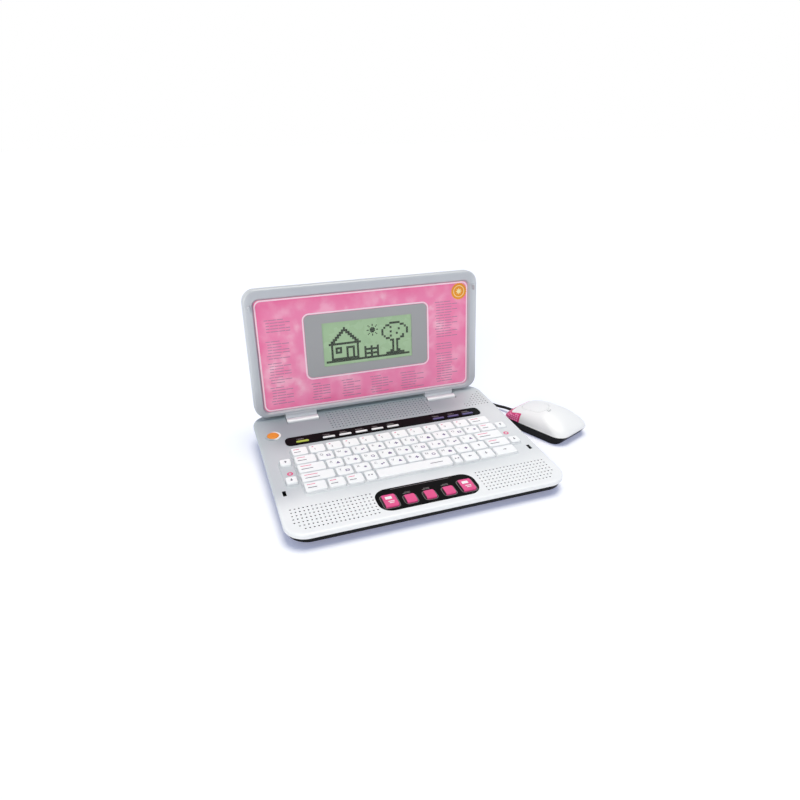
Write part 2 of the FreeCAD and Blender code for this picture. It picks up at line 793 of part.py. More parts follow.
def make_top_case():
    """The finished deck: its shell with an opening for everything that passes it."""
    shell = make_deck_shell()
    openings = compound("deck_openings", make_opening_cutters())
    deck = combine("Cut", "top_case", shell, openings)
    subparts.append(deck)
    if deck.Shape.Volume > shell.Shape.Volume - openings.Shape.Volume / 4:
        raise RuntimeError("the deck's openings cut too little")


def make_inset_plate(label, x, y, width, depth, corner, openings):
    """A glossy plate that lies in a recess of the deck, with openings for its keys."""
    body = new_body(label, DECK)
    gap = 2 * S.fit_gap
    plate = rectangle(body, x, y, -S.inset_depth, width - gap, depth - gap, corner)
    pad(body, plate, S.inset_depth + S.strip_rise)
    round_edges(body, level(S.strip_rise), S.plate_bevel, "Chamfer", "Size")
    for across, along, opening_width, opening_depth, opening_corner, count in openings:
        opening = rectangle(body, across, along, S.strip_rise, opening_width, opening_depth, opening_corner)
        cut_row(body, opening, S.inset_depth + 2 * S.strip_rise, count)


def make_plates():
    gap = 2 * S.key_clearance
    bars = [
        (x, strip_y + S.bar_shift, S.bar_length + gap, S.bar_depth + gap, bar_hole_corner, count)
        for _, x, count in BARS
    ]
    strip = (S.keyboard_shift, strip_y, strip_width, S.strip_depth, S.strip_corner)
    make_inset_plate("function_strip", *strip, bars)
    buttons = [
        (x, y, width + gap, depth + gap, S.button_corner + S.key_clearance, 1)
        for _, x, y, width, depth in BUTTONS
    ]
    panel = (S.button_shift, panel_y, S.panel_width, S.panel_depth, S.panel_corner)
    make_inset_plate("button_panel", *panel, buttons)


def make_inner_sheets():
    """The silicone membrane and the circuit board, each with a tongue under the front panel."""
    keys_front = front_y + S.palm_depth
    keys_depth = plinth_depth + S.strip_gap + S.strip_depth
    tongue_front = panel_y - S.panel_depth / 2
    tongue_depth = keys_front - tongue_front + S.sheet_overlap
    sheet_width = 2 * side_key_x + S.side_key_width + 2 * S.key_flange
    for label, z, thickness in (
        ("key_membrane", membrane_bottom, S.membrane_thickness),
        ("main_board", board_bottom, S.board_thickness),
    ):
        body = new_body(label, DECK)
        field = rectangle(body, 0, keys_front + keys_depth / 2, z, sheet_width, keys_depth, S.key_corner)
        pad(body, field, thickness)
        tongue_y = tongue_front + tongue_depth / 2
        tongue = rectangle(body, 0, tongue_y, z, S.panel_width, tongue_depth, S.key_corner)
        pad(body, tongue, thickness)


def make_speaker():
    """A small loudspeaker glued under the left palm rest: rim, tapered basket and magnet."""
    body = new_body("speaker", DECK)
    x = -(S.panel_width / 2 + S.speaker_gap + S.speaker_diameter / 2)
    rim_depth = S.speaker_depth / 4
    rim = disc(body, x, panel_y, -S.deck_skin, S.speaker_diameter)
    pad(body, rim, rim_depth, reverse=True)
    basket = disc(body, x, panel_y, -S.deck_skin - rim_depth, S.basket_diameter)
    pad(body, basket, rim_depth, taper=-S.speaker_taper, reverse=True)
    magnet = disc(body, x, panel_y, -S.deck_skin - 2 * rim_depth, S.speaker_diameter / 2)
    pad(body, magnet, 2 * rim_depth, reverse=True)


def tilted_rectangle(body, drop, width, depth, corner):
    """A sketch parallel to the deck, a distance below its surface, in a body that stands on the table."""
    y = drop * sine(S.deck_slope)
    z = S.deck_height - drop * cosine(S.deck_slope)
    return rectangle(body, 0, y, z, width, depth, corner, tilt=S.deck_slope)


def deck_underside(y):
    """The height above the table of the deck's underside, at a distance along it."""
    return S.deck_height + y * sine(S.deck_slope) - S.deck_skin * cosine(S.deck_slope)


def table_y(y, drop):
    """Where a point a distance below the deck lies along the table."""
    return y * cosine(S.deck_slope) + drop * sine(S.deck_slope)


def make_bottom_case():
    """The black tub: a rim under the deck's lip, sides that fall inwards, a battery bay and screw posts."""
    body = new_body("bottom_case", TABLE)
    rim_drop = S.lip_height + S.rim_height
    belly = rectangle(body, 0, 0, S.foot_rise, belly_width, belly_depth, belly_corner)
    rim = tilted_rectangle(body, rim_drop, rim_width, rim_depth, rim_corner)
    loft(body, [belly, rim])
    upper = tilted_rectangle(body, rim_drop, rim_width, rim_depth, rim_corner)
    pad(body, upper, S.rim_height)
    wall = 2 * S.wall
    floor = S.foot_rise + S.floor_thickness
    inner_belly = rectangle(body, 0, 0, floor, belly_width - wall, belly_depth - wall, belly_corner - S.wall)
    inner_rim = tilted_rectangle(body, rim_drop, rim_width - wall, rim_depth - wall, rim_corner - S.wall)
    loft(body, [inner_belly, inner_rim], cut=True)
    inner_upper = tilted_rectangle(body, rim_drop, rim_width - wall, rim_depth - wall, rim_corner - S.wall)
    pocket(body, inner_upper, S.rim_height + S.lip_height, reverse=True)

    bay_walls = 2 * S.bay_wall
    bay = rectangle(body, 0, bay_y, S.foot_rise, bay_width + bay_walls, bay_depth + bay_walls, S.bay_wall)
    pad(body, bay, S.bay_height)
    hollow = rectangle(body, 0, bay_y, S.foot_rise, bay_width, bay_depth, S.slot_corner)
    pocket(body, hollow, S.bay_height, reverse=True)
    door_gap = 2 * S.fit_gap
    door = rectangle(body, 0, bay_y, S.foot_rise, door_width + door_gap, door_depth + door_gap, S.slot_corner)
    pocket(body, door, S.door_thickness, reverse=True)
    post = disc(body, door_screw_x, bay_y, S.foot_rise + S.door_thickness, S.post_diameter)
    pad(body, post, S.bay_height - S.door_thickness)
    pilot = disc(body, door_screw_x, bay_y, S.foot_rise + S.door_thickness, S.screw_diameter)
    pocket(body, pilot, S.bay_height - S.door_thickness, reverse=True)

    for x, y in POSTS:
        along = table_y(y, S.deck_skin + S.boss_length)
        top = deck_underside(y) - S.boss_length - S.inner_clearance
        post = disc(body, x, along, floor, S.post_diameter)
        pad(body, post, top - floor)
        hole = disc(body, x, along, S.foot_rise, S.screw_diameter + 2 * S.inner_clearance)
        pocket(body, hole, top - S.foot_rise, reverse=True)
        sink = disc(body, x, along, S.foot_rise, S.screw_head_diameter + 2 * S.inner_clearance)
        pocket(body, sink, S.screw_head_height, reverse=True)
    for x, y in FEET:
        seat = disc(body, x, y, S.foot_rise, S.foot_diameter)
        pocket(body, seat, S.foot_recess, reverse=True)
    gland = disc(body, S.grommet_offset, grommet_z, -grommet_end_y, S.grommet_diameter, role="XZ_Plane")
    pocket(body, gland, S.grommet_reach + S.belly_inset + 2 * S.wall, reverse=True)


def make_screw(body, x, y, z, length):
    """A pan-head screw that points up from the underside of its head."""
    pad(body, disc(body, x, y, z, S.screw_head_diameter), S.screw_head_height)
    pad(body, disc(body, x, y, z + S.screw_head_height, S.screw_diameter), length)


def make_base_fittings():
    """Feet, screws, cells, their contacts and door, the hinge pins and the cord's grommet."""
    feet = new_body("rubber_feet", TABLE)
    for x, y in FEET:
        pad(feet, disc(feet, x, y, 0, S.foot_diameter), S.foot_rise + S.foot_recess)
    round_edges(feet, level(ZERO), S.foot_round)

    screws = new_body("case_screws", TABLE)
    for x, y in POSTS:
        length = deck_underside(y) - S.foot_rise - S.screw_head_height - S.screw_tip_gap
        make_screw(screws, x, table_y(y, S.deck_skin + S.boss_length), S.foot_rise, length)

    door = new_body("battery_door", TABLE)
    pad(door, rectangle(door, 0, bay_y, S.foot_rise, door_width, door_depth, S.slot_corner), S.door_thickness)
    hole = disc(door, door_screw_x, bay_y, S.foot_rise, S.screw_diameter + 2 * S.inner_clearance)
    pocket(door, hole, S.door_thickness, reverse=True)
    door_screw = new_body("battery_door_screw", TABLE)
    head_height = S.screw_head_height / 2
    head = disc(door_screw, door_screw_x, bay_y, S.foot_rise - head_height, S.screw_head_diameter)
    pad(door_screw, head, head_height)
    shank = disc(door_screw, door_screw_x, bay_y, S.foot_rise, S.screw_diameter)
    pad(door_screw, shank, S.bay_height - S.door_thickness)

    cells = new_body("batteries", TABLE)
    contacts = new_body("battery_contacts", TABLE)
    cell_z = S.foot_rise + S.door_thickness + S.cell_gap + S.cell_diameter / 2
    for row in (-1, 1):
        cell_y = bay_y + row * (S.cell_diameter + S.cell_gap) / 2
        for side in (-1, 1):
            start = ZERO if side > 0 else -S.cell_length
            body_start = start + S.fit_gap
            can_length = S.cell_length - S.nub_length - 2 * S.fit_gap
            pad(cells, disc(cells, cell_y, cell_z, body_start, S.cell_diameter, "YZ_Plane"), can_length)
            nub_start = body_start + can_length
            pad(cells, disc(cells, cell_y, cell_z, nub_start, S.nub_diameter, "YZ_Plane"), S.nub_length)
            plate_x = side * (S.cell_length + S.contact_thickness / 2 + S.fit_gap)
            plate = rectangle(contacts, plate_x, cell_y, cell_z - S.cell_diameter / 4,
                              S.contact_thickness, S.contact_width, S.contact_thickness / 4)
            pad(contacts, plate, S.cell_diameter / 2)

    pins = new_body("hinge_pins", DECK)
    for side in (-1, 1):
        start = side * S.hinge_offset - pin_length / 2
        pad(pins, disc(pins, hinge_y, -S.hinge_drop, start, S.pin_diameter, "YZ_Plane"), pin_length)

    grommet = new_body("cord_grommet", TABLE)
    sleeve = disc(grommet, S.grommet_offset, grommet_z, -grommet_end_y, S.grommet_diameter, "XZ_Plane")
    pad(grommet, sleeve, S.grommet_length)


def make_lid():
    """The lid: a front tray with knuckles and hooks, a printed card, the display and a back cover."""
    face = -S.lid_face_offset
    seam = face - S.lid_frame_depth
    back = seam - S.lid_cover_depth
    recess = face - S.recess_depth
    inside_width = lid_width - 2 * S.wall
    inside_height = lid_height - 2 * S.wall

    frame = new_body("lid_front_frame", LID)
    pad(frame, rectangle(frame, 0, lid_middle, seam, lid_width, lid_height, S.lid_corner), S.lid_frame_depth)
    round_edges(frame, level(face), S.lid_edge_round)
    tray = rectangle(frame, 0, inlay_middle, recess, inlay_width, inlay_height, S.inlay_corner)
    pocket(frame, tray, S.recess_depth + S.lid_edge_round, taper=S.recess_slope, reverse=True)
    hollow = rectangle(frame, 0, lid_middle, seam, inside_width, inside_height, S.lid_corner - S.wall)
    pocket(frame, hollow, S.lid_frame_depth - S.recess_depth - S.lid_skin, reverse=True)
    ledge = 2 * S.window_ledge
    opening = rectangle(frame, 0, S.window_centre, recess, S.window_width - ledge, S.window_height - ledge,
                        S.window_corner - S.window_ledge)
    pocket(frame, opening, S.lid_frame_depth)
    web_front = -(S.hinge_drop + S.hinge_clearance)
    web_depth = web_front - seam
    for side in (-1, 1):
        start = side * S.hinge_offset - S.knuckle_length / 2
        knuckle = disc(frame, 0, 0, start, 2 * S.knuckle_radius, "YZ_Plane")
        pad(frame, knuckle, S.knuckle_length)
        web = rectangle(frame, (S.lid_lift + S.wall - S.web_drop) / 2, (seam + web_front) / 2, start,
                        S.lid_lift + S.wall + S.web_drop, web_depth, S.slot_corner, "YZ_Plane")
        pad(frame, web, S.knuckle_length)
        bore = disc(frame, 0, 0, start, S.pin_diameter + 2 * S.pin_clearance, "YZ_Plane")
        pocket(frame, bore, S.knuckle_length, reverse=True)
        hook = rectangle(frame, side * latch_x, S.latch_reach, recess, hook_width, hook_depth, S.hook_corner)
        pad(frame, hook, S.recess_depth + S.hook_height)
        for x, s in LID_POSTS:
            if x.value * side > 0:
                hole = disc(frame, x, s, seam, S.screw_diameter)
                pocket(frame, hole, S.lid_frame_depth - S.lid_skin, reverse=True)

    cover = new_body("lid_back_cover", LID)
    pad(cover, rectangle(cover, 0, lid_middle, back, lid_width, lid_height, S.lid_corner), S.lid_cover_depth)
    round_edges(cover, level(back), S.cover_edge_round)
    shell = rectangle(cover, 0, lid_middle, seam, inside_width, inside_height, S.lid_corner - S.wall)
    pocket(cover, shell, S.lid_cover_depth - S.lid_skin)
    screws = new_body("lid_screws", LID)
    for x, s in LID_POSTS:
        pad(cover, disc(cover, x, s, back, S.post_diameter), S.lid_cover_depth)
        hole = disc(cover, x, s, back, S.screw_diameter + 2 * S.inner_clearance)
        pocket(cover, hole, S.lid_cover_depth, reverse=True)
        sink = disc(cover, x, s, back, S.screw_head_diameter + 2 * S.inner_clearance)
        pocket(cover, sink, S.screw_head_height, reverse=True)
        length = S.lid_cover_depth + S.lid_frame_depth - S.lid_skin - S.screw_head_height - S.fit_gap
        make_screw(screws, x, s, back, length)

    gap = 2 * S.fit_gap
    card = new_body("screen_inlay", LID)
    card_width, card_height = inlay_width - gap, inlay_height - gap
    outline = rectangle(card, 0, inlay_middle, recess, card_width, card_height, S.inlay_corner)
    pad(card, outline, S.inlay_thickness)
    window = rectangle(card, 0, S.window_centre, recess, S.window_width, S.window_height, S.window_corner)
    pocket(card, window, S.inlay_thickness, reverse=True)

    mask = new_body("screen_mask", LID)
    mask_width, mask_height = S.window_width - gap, S.window_height - gap
    plate = rectangle(mask, 0, S.window_centre, recess, mask_width, mask_height, S.window_corner)
    pad(mask, plate, S.mask_thickness)
    view = rectangle(mask, 0, S.window_centre, recess, S.lcd_width, S.lcd_height, S.slot_corner)
    pocket(mask, view, S.mask_thickness, reverse=True)

    glass_width = S.lcd_width + 2 * S.lcd_border
    glass_height = S.lcd_height + 2 * S.lcd_border
    panel = new_body("lcd_panel", LID)
    glass_back = recess - S.lcd_thickness
    glass = rectangle(panel, 0, S.window_centre, glass_back, glass_width, glass_height, S.slot_corner)
    pad(panel, glass, S.lcd_thickness)
    board = new_body("lcd_board", LID)
    board_back = glass_back - S.board_thickness
    plate = rectangle(board, 0, S.window_centre, board_back, S.window_width, S.window_height, S.slot_corner)
    pad(board, plate, S.board_thickness)


def mouse_outline(body, z, inset=ZERO):
    """The mouse's plan at its seam."""
    width = S.mouse_width - 2 * inset
    length = S.mouse_length - 2 * inset
    nose_corner = S.mouse_nose_corner - inset
    return rectangle(body, 0, 0, z, width, length, S.mouse_corner - inset, far_radius=nose_corner)


def mouse_floor(body, z, inset=ZERO):
    """The mouse's plan at its floor, tucked in under the seam."""
    width = S.mouse_width - 2 * (S.mouse_side_tuck + inset)
    length = S.mouse_length - 2 * (S.mouse_end_tuck + inset)
    return rectangle(body, 0, 0, z, width, length, S.mouse_floor_corner - inset)


# The dome's plans at rising shares of its height: share of the width, share of the length, and how far the
# corners have gone from the seam's own corners towards a full round.
DOME_PLANS = [
    (0.00, 1.000, 1.000, 0.00),
    (0.19, 0.972, 0.975, 0.10),
    (0.34, 0.938, 0.915, 0.25),
    (0.49, 0.884, 0.822, 0.45),
    (0.62, 0.807, 0.718, 0.65),
    (0.72, 0.713, 0.620, 0.80),
    (0.82, 0.582, 0.495, 0.90),
    (0.90, 0.444, 0.375, 0.95),
    (0.96, 0.286, 0.240, 0.95),
    (1.00, 0.100, 0.085, 0.95),
]


def mouse_dome(label, inset=ZERO):
    """The pebble over the mouse's seam, drawn smoothly through its plans, or the hollow inside it."""
    body = helper_body(label, MOUSE)
    rise = S.mouse_height - mouse_seam - inset
    plans = []
    for height, across, along, fullness in DOME_PLANS:
        width = across * (S.mouse_width - 2 * inset)
        length = along * (S.mouse_length - 2 * inset)
        full_round = fullness * width / 2
        corner = (1 - fullness) * (S.mouse_corner - inset) + full_round
        nose_corner = (1 - fullness) * (S.mouse_nose_corner - inset) + full_round
        z = mouse_seam + height * rise
        plans.append(rectangle(body, 0, 0, z, width, length, corner, far_radius=nose_corner))
    loft(body, plans)
    return body


def mouse_column(label, x, y, width, length, corner):
    """An upright block through the mouse's top, used to cut it or to keep what stands in it."""
    body = helper_body(label, MOUSE)
    pad(body, rectangle(body, x, y, ZERO, width, length, corner), 2 * S.mouse_height)
    return body


def make_nose_zone(label, gap):
    """The space of the pink nose band: the front end of the dome, outside the white top's tongue."""
    length = 2 * S.nose_length
    block_y = S.mouse_length / 2 + gap
    block = mouse_column(f"{label}_block", 0, block_y, 2 * S.mouse_width, length, S.slot_corner)
    tongue_width = S.mouse_width - 2 * (S.nose_side - gap)
    tongue_length = S.mouse_length - 2 * (S.nose_front - gap)
    tongue = mouse_column(f"{label}_tongue", 0, 0, tongue_width, tongue_length, S.nose_front / 2)
    return combine("Cut", label, block, tongue)


def make_mouse():
    """The mouse: a black tub, a white top with a pink nose band, an oval button and the pieces inside."""
    dome = mouse_dome("dome")
    hollow = mouse_dome("dome_hollow", S.mouse_wall)
    oval_width = S.mouse_button_width + 2 * S.key_clearance
    oval_length = S.mouse_button_length + 2 * S.key_clearance
    oval_x, oval_y = -S.mouse_button_side, S.mouse_button_offset
    oval = mouse_column("oval", oval_x, oval_y, oval_width, oval_length, oval_width / 2 - S.fit_gap)
    openings = compound("mouse_openings", [hollow, oval, make_nose_zone("nose_opening", ZERO)])
    subparts.append(combine("Cut", "mouse_top", dome, openings))
    band = combine("Common", "nose_band", dome, make_nose_zone("nose_space", S.fit_gap))
    subparts.append(combine("Cut", "mouse_nose", band, hollow))

    flange_z = S.mouse_height - S.mouse_button_thickness
    column = helper_body("button_column", MOUSE)
    width, length = S.mouse_button_width, S.mouse_button_length
    stem = rectangle(column, oval_x, oval_y, flange_z, width, length, width / 2 - S.fit_gap)
    pad(column, stem, S.mouse_height)
    cap = combine("Common", "button_cap", dome, column)
    flange = helper_body("button_flange", MOUSE)
    flange_width, flange_length = width + 2 * S.key_flange, length + 2 * S.key_flange
    flange_corner = flange_width / 2 - S.fit_gap
    outline = rectangle(flange, oval_x, oval_y, flange_z, flange_width, flange_length, flange_corner)
    pad(flange, outline, S.key_flange_thickness)
    subparts.append(combine("Fuse", "mouse_button", cap, flange))

    tub = new_body("mouse_bottom", MOUSE)
    floor = S.mouse_foot_rise + S.mouse_wall
    loft(tub, [mouse_floor(tub, S.mouse_foot_rise), mouse_outline(tub, mouse_seam)])
    loft(tub, [mouse_floor(tub, floor, S.mouse_wall), mouse_outline(tub, mouse_seam, S.mouse_wall)], cut=True)
    gland = disc(tub, 0, boot_z, -S.mouse_length, S.boot_diameter, "XZ_Plane")
    pocket(tub, gland, S.mouse_length, reverse=True)
    board = new_body("mouse_board", MOUSE)
    pad(board, mouse_floor(board, floor, S.mouse_wall + S.mouse_board_gap), S.board_thickness)
    feet = new_body("mouse_feet", MOUSE)
    for end in (-1, 1):
        foot_y = end * S.mouse_foot_spacing / 2
        foot = rectangle(feet, 0, foot_y, 0, S.mouse_foot_width, S.mouse_foot_depth, S.mouse_foot_depth / 3)
        pad(feet, foot, S.mouse_foot_rise)
    boot = new_body("mouse_boot", MOUSE)
    boot_start = S.mouse_length / 2 - S.mouse_end_tuck
    sleeve = disc(boot, 0, boot_z, -boot_start, S.boot_diameter, "XZ_Plane")
    pad(boot, sleeve, S.boot_length + S.mouse_end_tuck, taper=-S.boot_taper, reverse=True)


def cord_path(points):
    """Straight runs joined by tangent arcs, each as large as its two runs allow."""
    edges = []
    start = points[0]
    radii = []
    for before, corner, after in zip(points, points[1:], points[2:]):
        inward = (before - corner).normalize()
        onward = (after - corner).normalize()
        turn = math.pi - inward.getAngle(onward)
        reach = 0.45 * min((before - corner).Length, (after - corner).Length)
        radius = reach / math.tan(turn / 2)
        radii.append(round(radius, 1))
        middle = (inward + onward).normalize()
        inner_centre = corner + middle * (radius / math.cos(turn / 2))
        first, last = corner + inward * reach, corner + onward * reach
        edges.append(Part.LineSegment(start, first).toShape())
        edges.append(Part.Arc(first, inner_centre - middle * radius, last).toShape())
        start = last
    edges.append(Part.LineSegment(start, points[-1]).toShape())
    return Part.Wire(edges), radii


def tube_along(wire, direction):
    """A round tube of the cord's diameter along a path."""
    radius = S.cord_diameter.value / 2
    ring = Part.Circle(wire.OrderedVertexes[0].Point, direction, radius)
    return wire.makePipeShell([Part.Wire(ring.toShape())], True, False)


def biarc(start, start_way, end, end_way):
    """Two arcs that join two points with the given directions."""
    between = end - start
    ways = start_way + end_way
    spread = 2 * (1 - start_way.dot(end_way))
    along = between.dot(ways)
    reach = (-along + math.sqrt(along * along + spread * between.dot(between))) / spread
    joint = (start + end + (start_way - end_way) * reach) * 0.5
    arcs = []
    for first, way, last in ((start, start_way, joint), (end, end_way * -1, joint)):
        chord = last - first
        across = chord - way * chord.dot(way)
        radius = chord.dot(chord) / (2 * across.Length)
        centre = first + across.normalize() * radius
        middle = (first + last) * 0.5 - centre
        arcs.append(Part.Arc(first, centre + middle.normalize() * radius, last).toShape())
    return arcs


# The put-away coil, and the cord's free points on the table, in millimetres.
COIL_TURNS = 3.5
COIL_RADIUS = 23.0
COIL_PITCH = S.cord_diameter.value + 1.1
COIL_CENTRE = Vector(36, 166, S.cord_diameter.value / 2 + 0.1)
CASE_EXIT = 8.5
CASE_ROUTE = [(92.6, 133.6, 12), (86.4, 139.8, 10.2), (78.3, 143.1, 8), (64.5, 143.5, 4.4), (52, 143, 1.85)]
MOUSE_EXIT = 9.0
MOUSE_ROUTE = [(167, 86, 4), (159, 106, 2.6), (149.5, 127, 2), (134, 147, 2), (115, 164, 2), (92, 178, 2.4),
               (69, 187.5, 4.4), (52, 189, 6.45)]


def coil_point(turns):
    """A point of the coil after a number of turns: in on the lower layer, up, and out on the upper layer."""
    spiral_turns = (COIL_TURNS - 0.5) / 2
    inward = min(turns, spiral_turns)
    outward = max(0.0, turns - spiral_turns - 0.5)
    climb = min(1.0, max(0.0, (turns - spiral_turns) / 0.5))
    radius = COIL_RADIUS - COIL_PITCH * (inward - outward)
    lift = COIL_PITCH * climb * climb * (3 - 2 * climb)
    angle = -math.pi / 2 - 2 * math.pi * turns
    return COIL_CENTRE + Vector(radius * math.cos(angle), radius * math.sin(angle), lift)


def coil_way(turns):
    step = 1e-4
    return (coil_point(turns + step) - coil_point(turns - step)).normalize()


def add_cord(label, shape):
    item = doc.addObject("Part::Feature", label)
    item.Label = label
    item.Shape = shape
    item.Placement = FreeCAD.Placement()
    subparts.append(item)


def exit_run(start, way, length):
    """The first straight run of a stretch, square to the face that it leaves."""
    return [start, start + way * length]


def free_points(route):
    return [Vector(*point) for point in route]


def make_cord():
    """The mouse's cord: out of the rear, round a put-away coil behind the base and on to the mouse."""
    diameter = S.cord_diameter.value
    section = math.pi * diameter * diameter / 4
    count = int(COIL_TURNS * 4)
    stops = [turn / 4 for turn in range(count + 1)]
    entry_way, exit_way = Vector(-1, 0, 0), Vector(1, 0, 0)
    ways = [entry_way] + [coil_way(turn) for turn in stops[1:-1]] + [exit_way]
    points = [coil_point(turn) for turn in stops]
    entry = points[0] - entry_way * diameter
    leave = points[-1] + exit_way * diameter
    edges = [Part.LineSegment(entry, points[0]).toShape()]
    for first, way, last, last_way in zip(points, ways, points[1:], ways[1:]):
        edges.extend(biarc(first, way, last, last_way))
    edges.append(Part.LineSegment(points[-1], leave).toShape())
    coil = Part.Wire(edges)
    add_cord("cord_coil", tube_along(coil, entry_way))
    samples = [coil_point(COIL_TURNS * index / 400) for index in range(401)]
    near = 400 // int(2 * COIL_TURNS)
    gap = min((a - b).Length for i, a in enumerate(samples) for b in samples[i + near:]) - diameter
    print(f"cord_coil: least gap to itself {gap:.2f} mm, length {coil.Length:.0f} mm")

    grommet_end = Vector(S.grommet_offset.value, grommet_end_y.value, grommet_z.value)
    turn = math.radians(S.mouse_heading.value)
    mouse_way = Vector(-math.sin(turn), math.cos(turn), 0)
    boot_reach = (S.mouse_length / 2 + S.boot_length).value
    boot_end = Vector(S.mouse_x.value, S.mouse_y.value, boot_z.value) + mouse_way * boot_reach
    routes = {
        "cord_to_case": exit_run(grommet_end, Vector(0, 1, 0), CASE_EXIT) + free_points(CASE_ROUTE) + [entry],
        "cord_to_mouse": exit_run(boot_end, mouse_way, MOUSE_EXIT) + free_points(MOUSE_ROUTE) + [leave],
    }
    for label, route in routes.items():
        wire, radii = cord_path(route)
        tube = tube_along(wire, (route[1] - route[0]).normalize())
        add_cord(label, tube)
        ratio = tube.Volume / (section * wire.Length)
        print(f"{label}: length {wire.Length:.0f} mm, volume ratio {ratio:.4f}, radii {radii}")


make_keys()
make_bar_keys()
make_panel_buttons()
make_power_button()
make_top_case()
make_plates()
make_inner_sheets()
make_speaker()
make_bottom_case()
make_base_fittings()
make_lid()
make_mouse()
make_cord()
doc.recompute()

for item in doc.Objects:
    if "Invalid" in item.State or "Error" in item.State:
        raise RuntimeError(f"{item.Label} failed to build")
for item in subparts:
    if item.Shape.isNull() or not item.Shape.isValid():
        raise RuntimeError(f"{item.Label} has no valid shape")
os.makedirs("parts", exist_ok=True)
for item in subparts:
    item.Shape.exportStep(f"parts/{item.Label}.step")
print(len(subparts), "sub-parts written")
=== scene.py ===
import math
import bmesh
import bpy
from mathutils import Matrix, Vector
from mathutils.bvhtree import BVHTree


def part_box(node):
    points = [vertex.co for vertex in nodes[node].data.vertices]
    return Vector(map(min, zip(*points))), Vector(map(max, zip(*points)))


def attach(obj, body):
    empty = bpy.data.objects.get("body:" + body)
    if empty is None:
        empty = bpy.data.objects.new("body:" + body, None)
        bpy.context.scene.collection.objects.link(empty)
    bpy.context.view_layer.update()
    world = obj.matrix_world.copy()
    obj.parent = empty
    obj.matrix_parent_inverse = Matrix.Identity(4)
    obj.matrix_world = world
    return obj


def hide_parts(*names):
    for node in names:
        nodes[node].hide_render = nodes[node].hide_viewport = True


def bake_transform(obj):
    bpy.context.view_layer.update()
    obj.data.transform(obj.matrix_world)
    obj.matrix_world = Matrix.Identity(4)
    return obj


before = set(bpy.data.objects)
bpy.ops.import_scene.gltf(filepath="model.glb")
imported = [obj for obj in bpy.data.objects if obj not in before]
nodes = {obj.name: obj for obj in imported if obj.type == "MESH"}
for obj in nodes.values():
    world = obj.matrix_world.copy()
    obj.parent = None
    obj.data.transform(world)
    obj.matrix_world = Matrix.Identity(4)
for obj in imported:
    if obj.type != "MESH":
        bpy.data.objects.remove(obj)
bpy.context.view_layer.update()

# The table and the room: a plain pale table top under an even, cool sky of soft light, with one broad
# warm lamp nearly overhead and one low at the camera's left. The table's own faint bluish glow shows
# only where the object's shadow falls on it.
CAMERA_PLACE = Vector((-0.1990, -0.5529, 0.3582))
CAMERA_BACK = Vector((-0.30495, -0.84877, 0.43206))
CAMERA_LENS = 27.675
CAMERA_SENSOR = 36.0
CAMERA_SHIFT = 0.00125
CAMERA_NEAR = 0.01
TABLE_SIZE = 12.0
TABLE_COLOUR = (0.99, 0.99, 0.99, 1.0)
TABLE_GLOW = 0.1
TABLE_GLOW_LEVEL = 2.6
TABLE_GLOW_COLOUR = (0.55, 0.60, 1.0, 1.0)
SKY_LEVEL = 0.42
SKY_COLOUR = (0.55, 0.70, 1.0, 1.0)
BACKDROP_LEVEL = 1.0
BACKDROP_COLOUR = (1.0, 1.0, 1.0, 1.0)
LAMP_COLOUR = (1.0, 0.95, 0.80)
LAMP_WIDTH = math.radians(34)
# Each lamp's strength and its turn from straight down.
LAMPS = {"high_lamp": (2.05, (math.radians(-4), math.radians(6), 0)),
         "front_lamp": (1.2, (math.radians(72), 0, math.radians(-32)))}


class Paint:
    """One value in a finish: sums and products of such values add their own nodes."""

    def __init__(self, tree, socket=None):
        self.tree = tree
        self.socket = socket

    def node(self, kind, settings=None, sockets=None, output=0):
        made = self.tree.nodes.new(kind)
        for name, setting in (settings or {}).items():
            setattr(made, name, setting)
        for name, value in (sockets or {}).items():
            if isinstance(value, Paint):
                self.tree.links.new(value.socket, made.inputs[name])
            else:
                made.inputs[name].default_value = value
        return Paint(self.tree, made.outputs[output])

    def math(self, operation, first, second=0.0):
        return self.node("ShaderNodeMath", {"operation": operation}, {0: first, 1: second})

    def feed(self, socket, end="Principled BSDF"):
        """Leads this value to a socket of the finish's shader."""
        self.tree.links.new(self.socket, self.tree.nodes[end].inputs[socket])

    def __add__(self, other):
        return self.math("ADD", self, other)

    def __sub__(self, other):
        return self.math("SUBTRACT", self, other)

    def __rsub__(self, other):
        return self.math("SUBTRACT", other, self)

    def __mul__(self, other):
        return self.math("MULTIPLY", self, other)

    def __truediv__(self, other):
        return self.math("DIVIDE", self, other)

    def __rtruediv__(self, other):
        return self.math("DIVIDE", other, self)

    def __gt__(self, other):
        return self.math("GREATER_THAN", self, other)

    def __lt__(self, other):
        return self.math("LESS_THAN", self, other)

    def __abs__(self):
        return self.math("ABSOLUTE", self)

    __radd__ = __add__
    __rmul__ = __mul__


def seen_share(paint, share):
    """A share for the rays that look straight at, or see a mirror image of, what is behind the object."""
    rays = [paint.node("ShaderNodeLightPath", output=f"Is {kind} Ray")
            for kind in ("Camera", "Glossy", "Transmission")]
    return paint.math("MINIMUM", rays[0] + rays[1] + rays[2], 1.0) * share


def put_in_scene(name, data):
    """A new object that holds this mesh, curve, lamp or camera."""
    item = bpy.data.objects.new(name, data)
    bpy.context.scene.collection.objects.link(item)
    return item


def mesh_of(name, points, faces):
    mesh = bpy.data.meshes.new(name)
    mesh.from_pydata(points, [], faces)
    return mesh


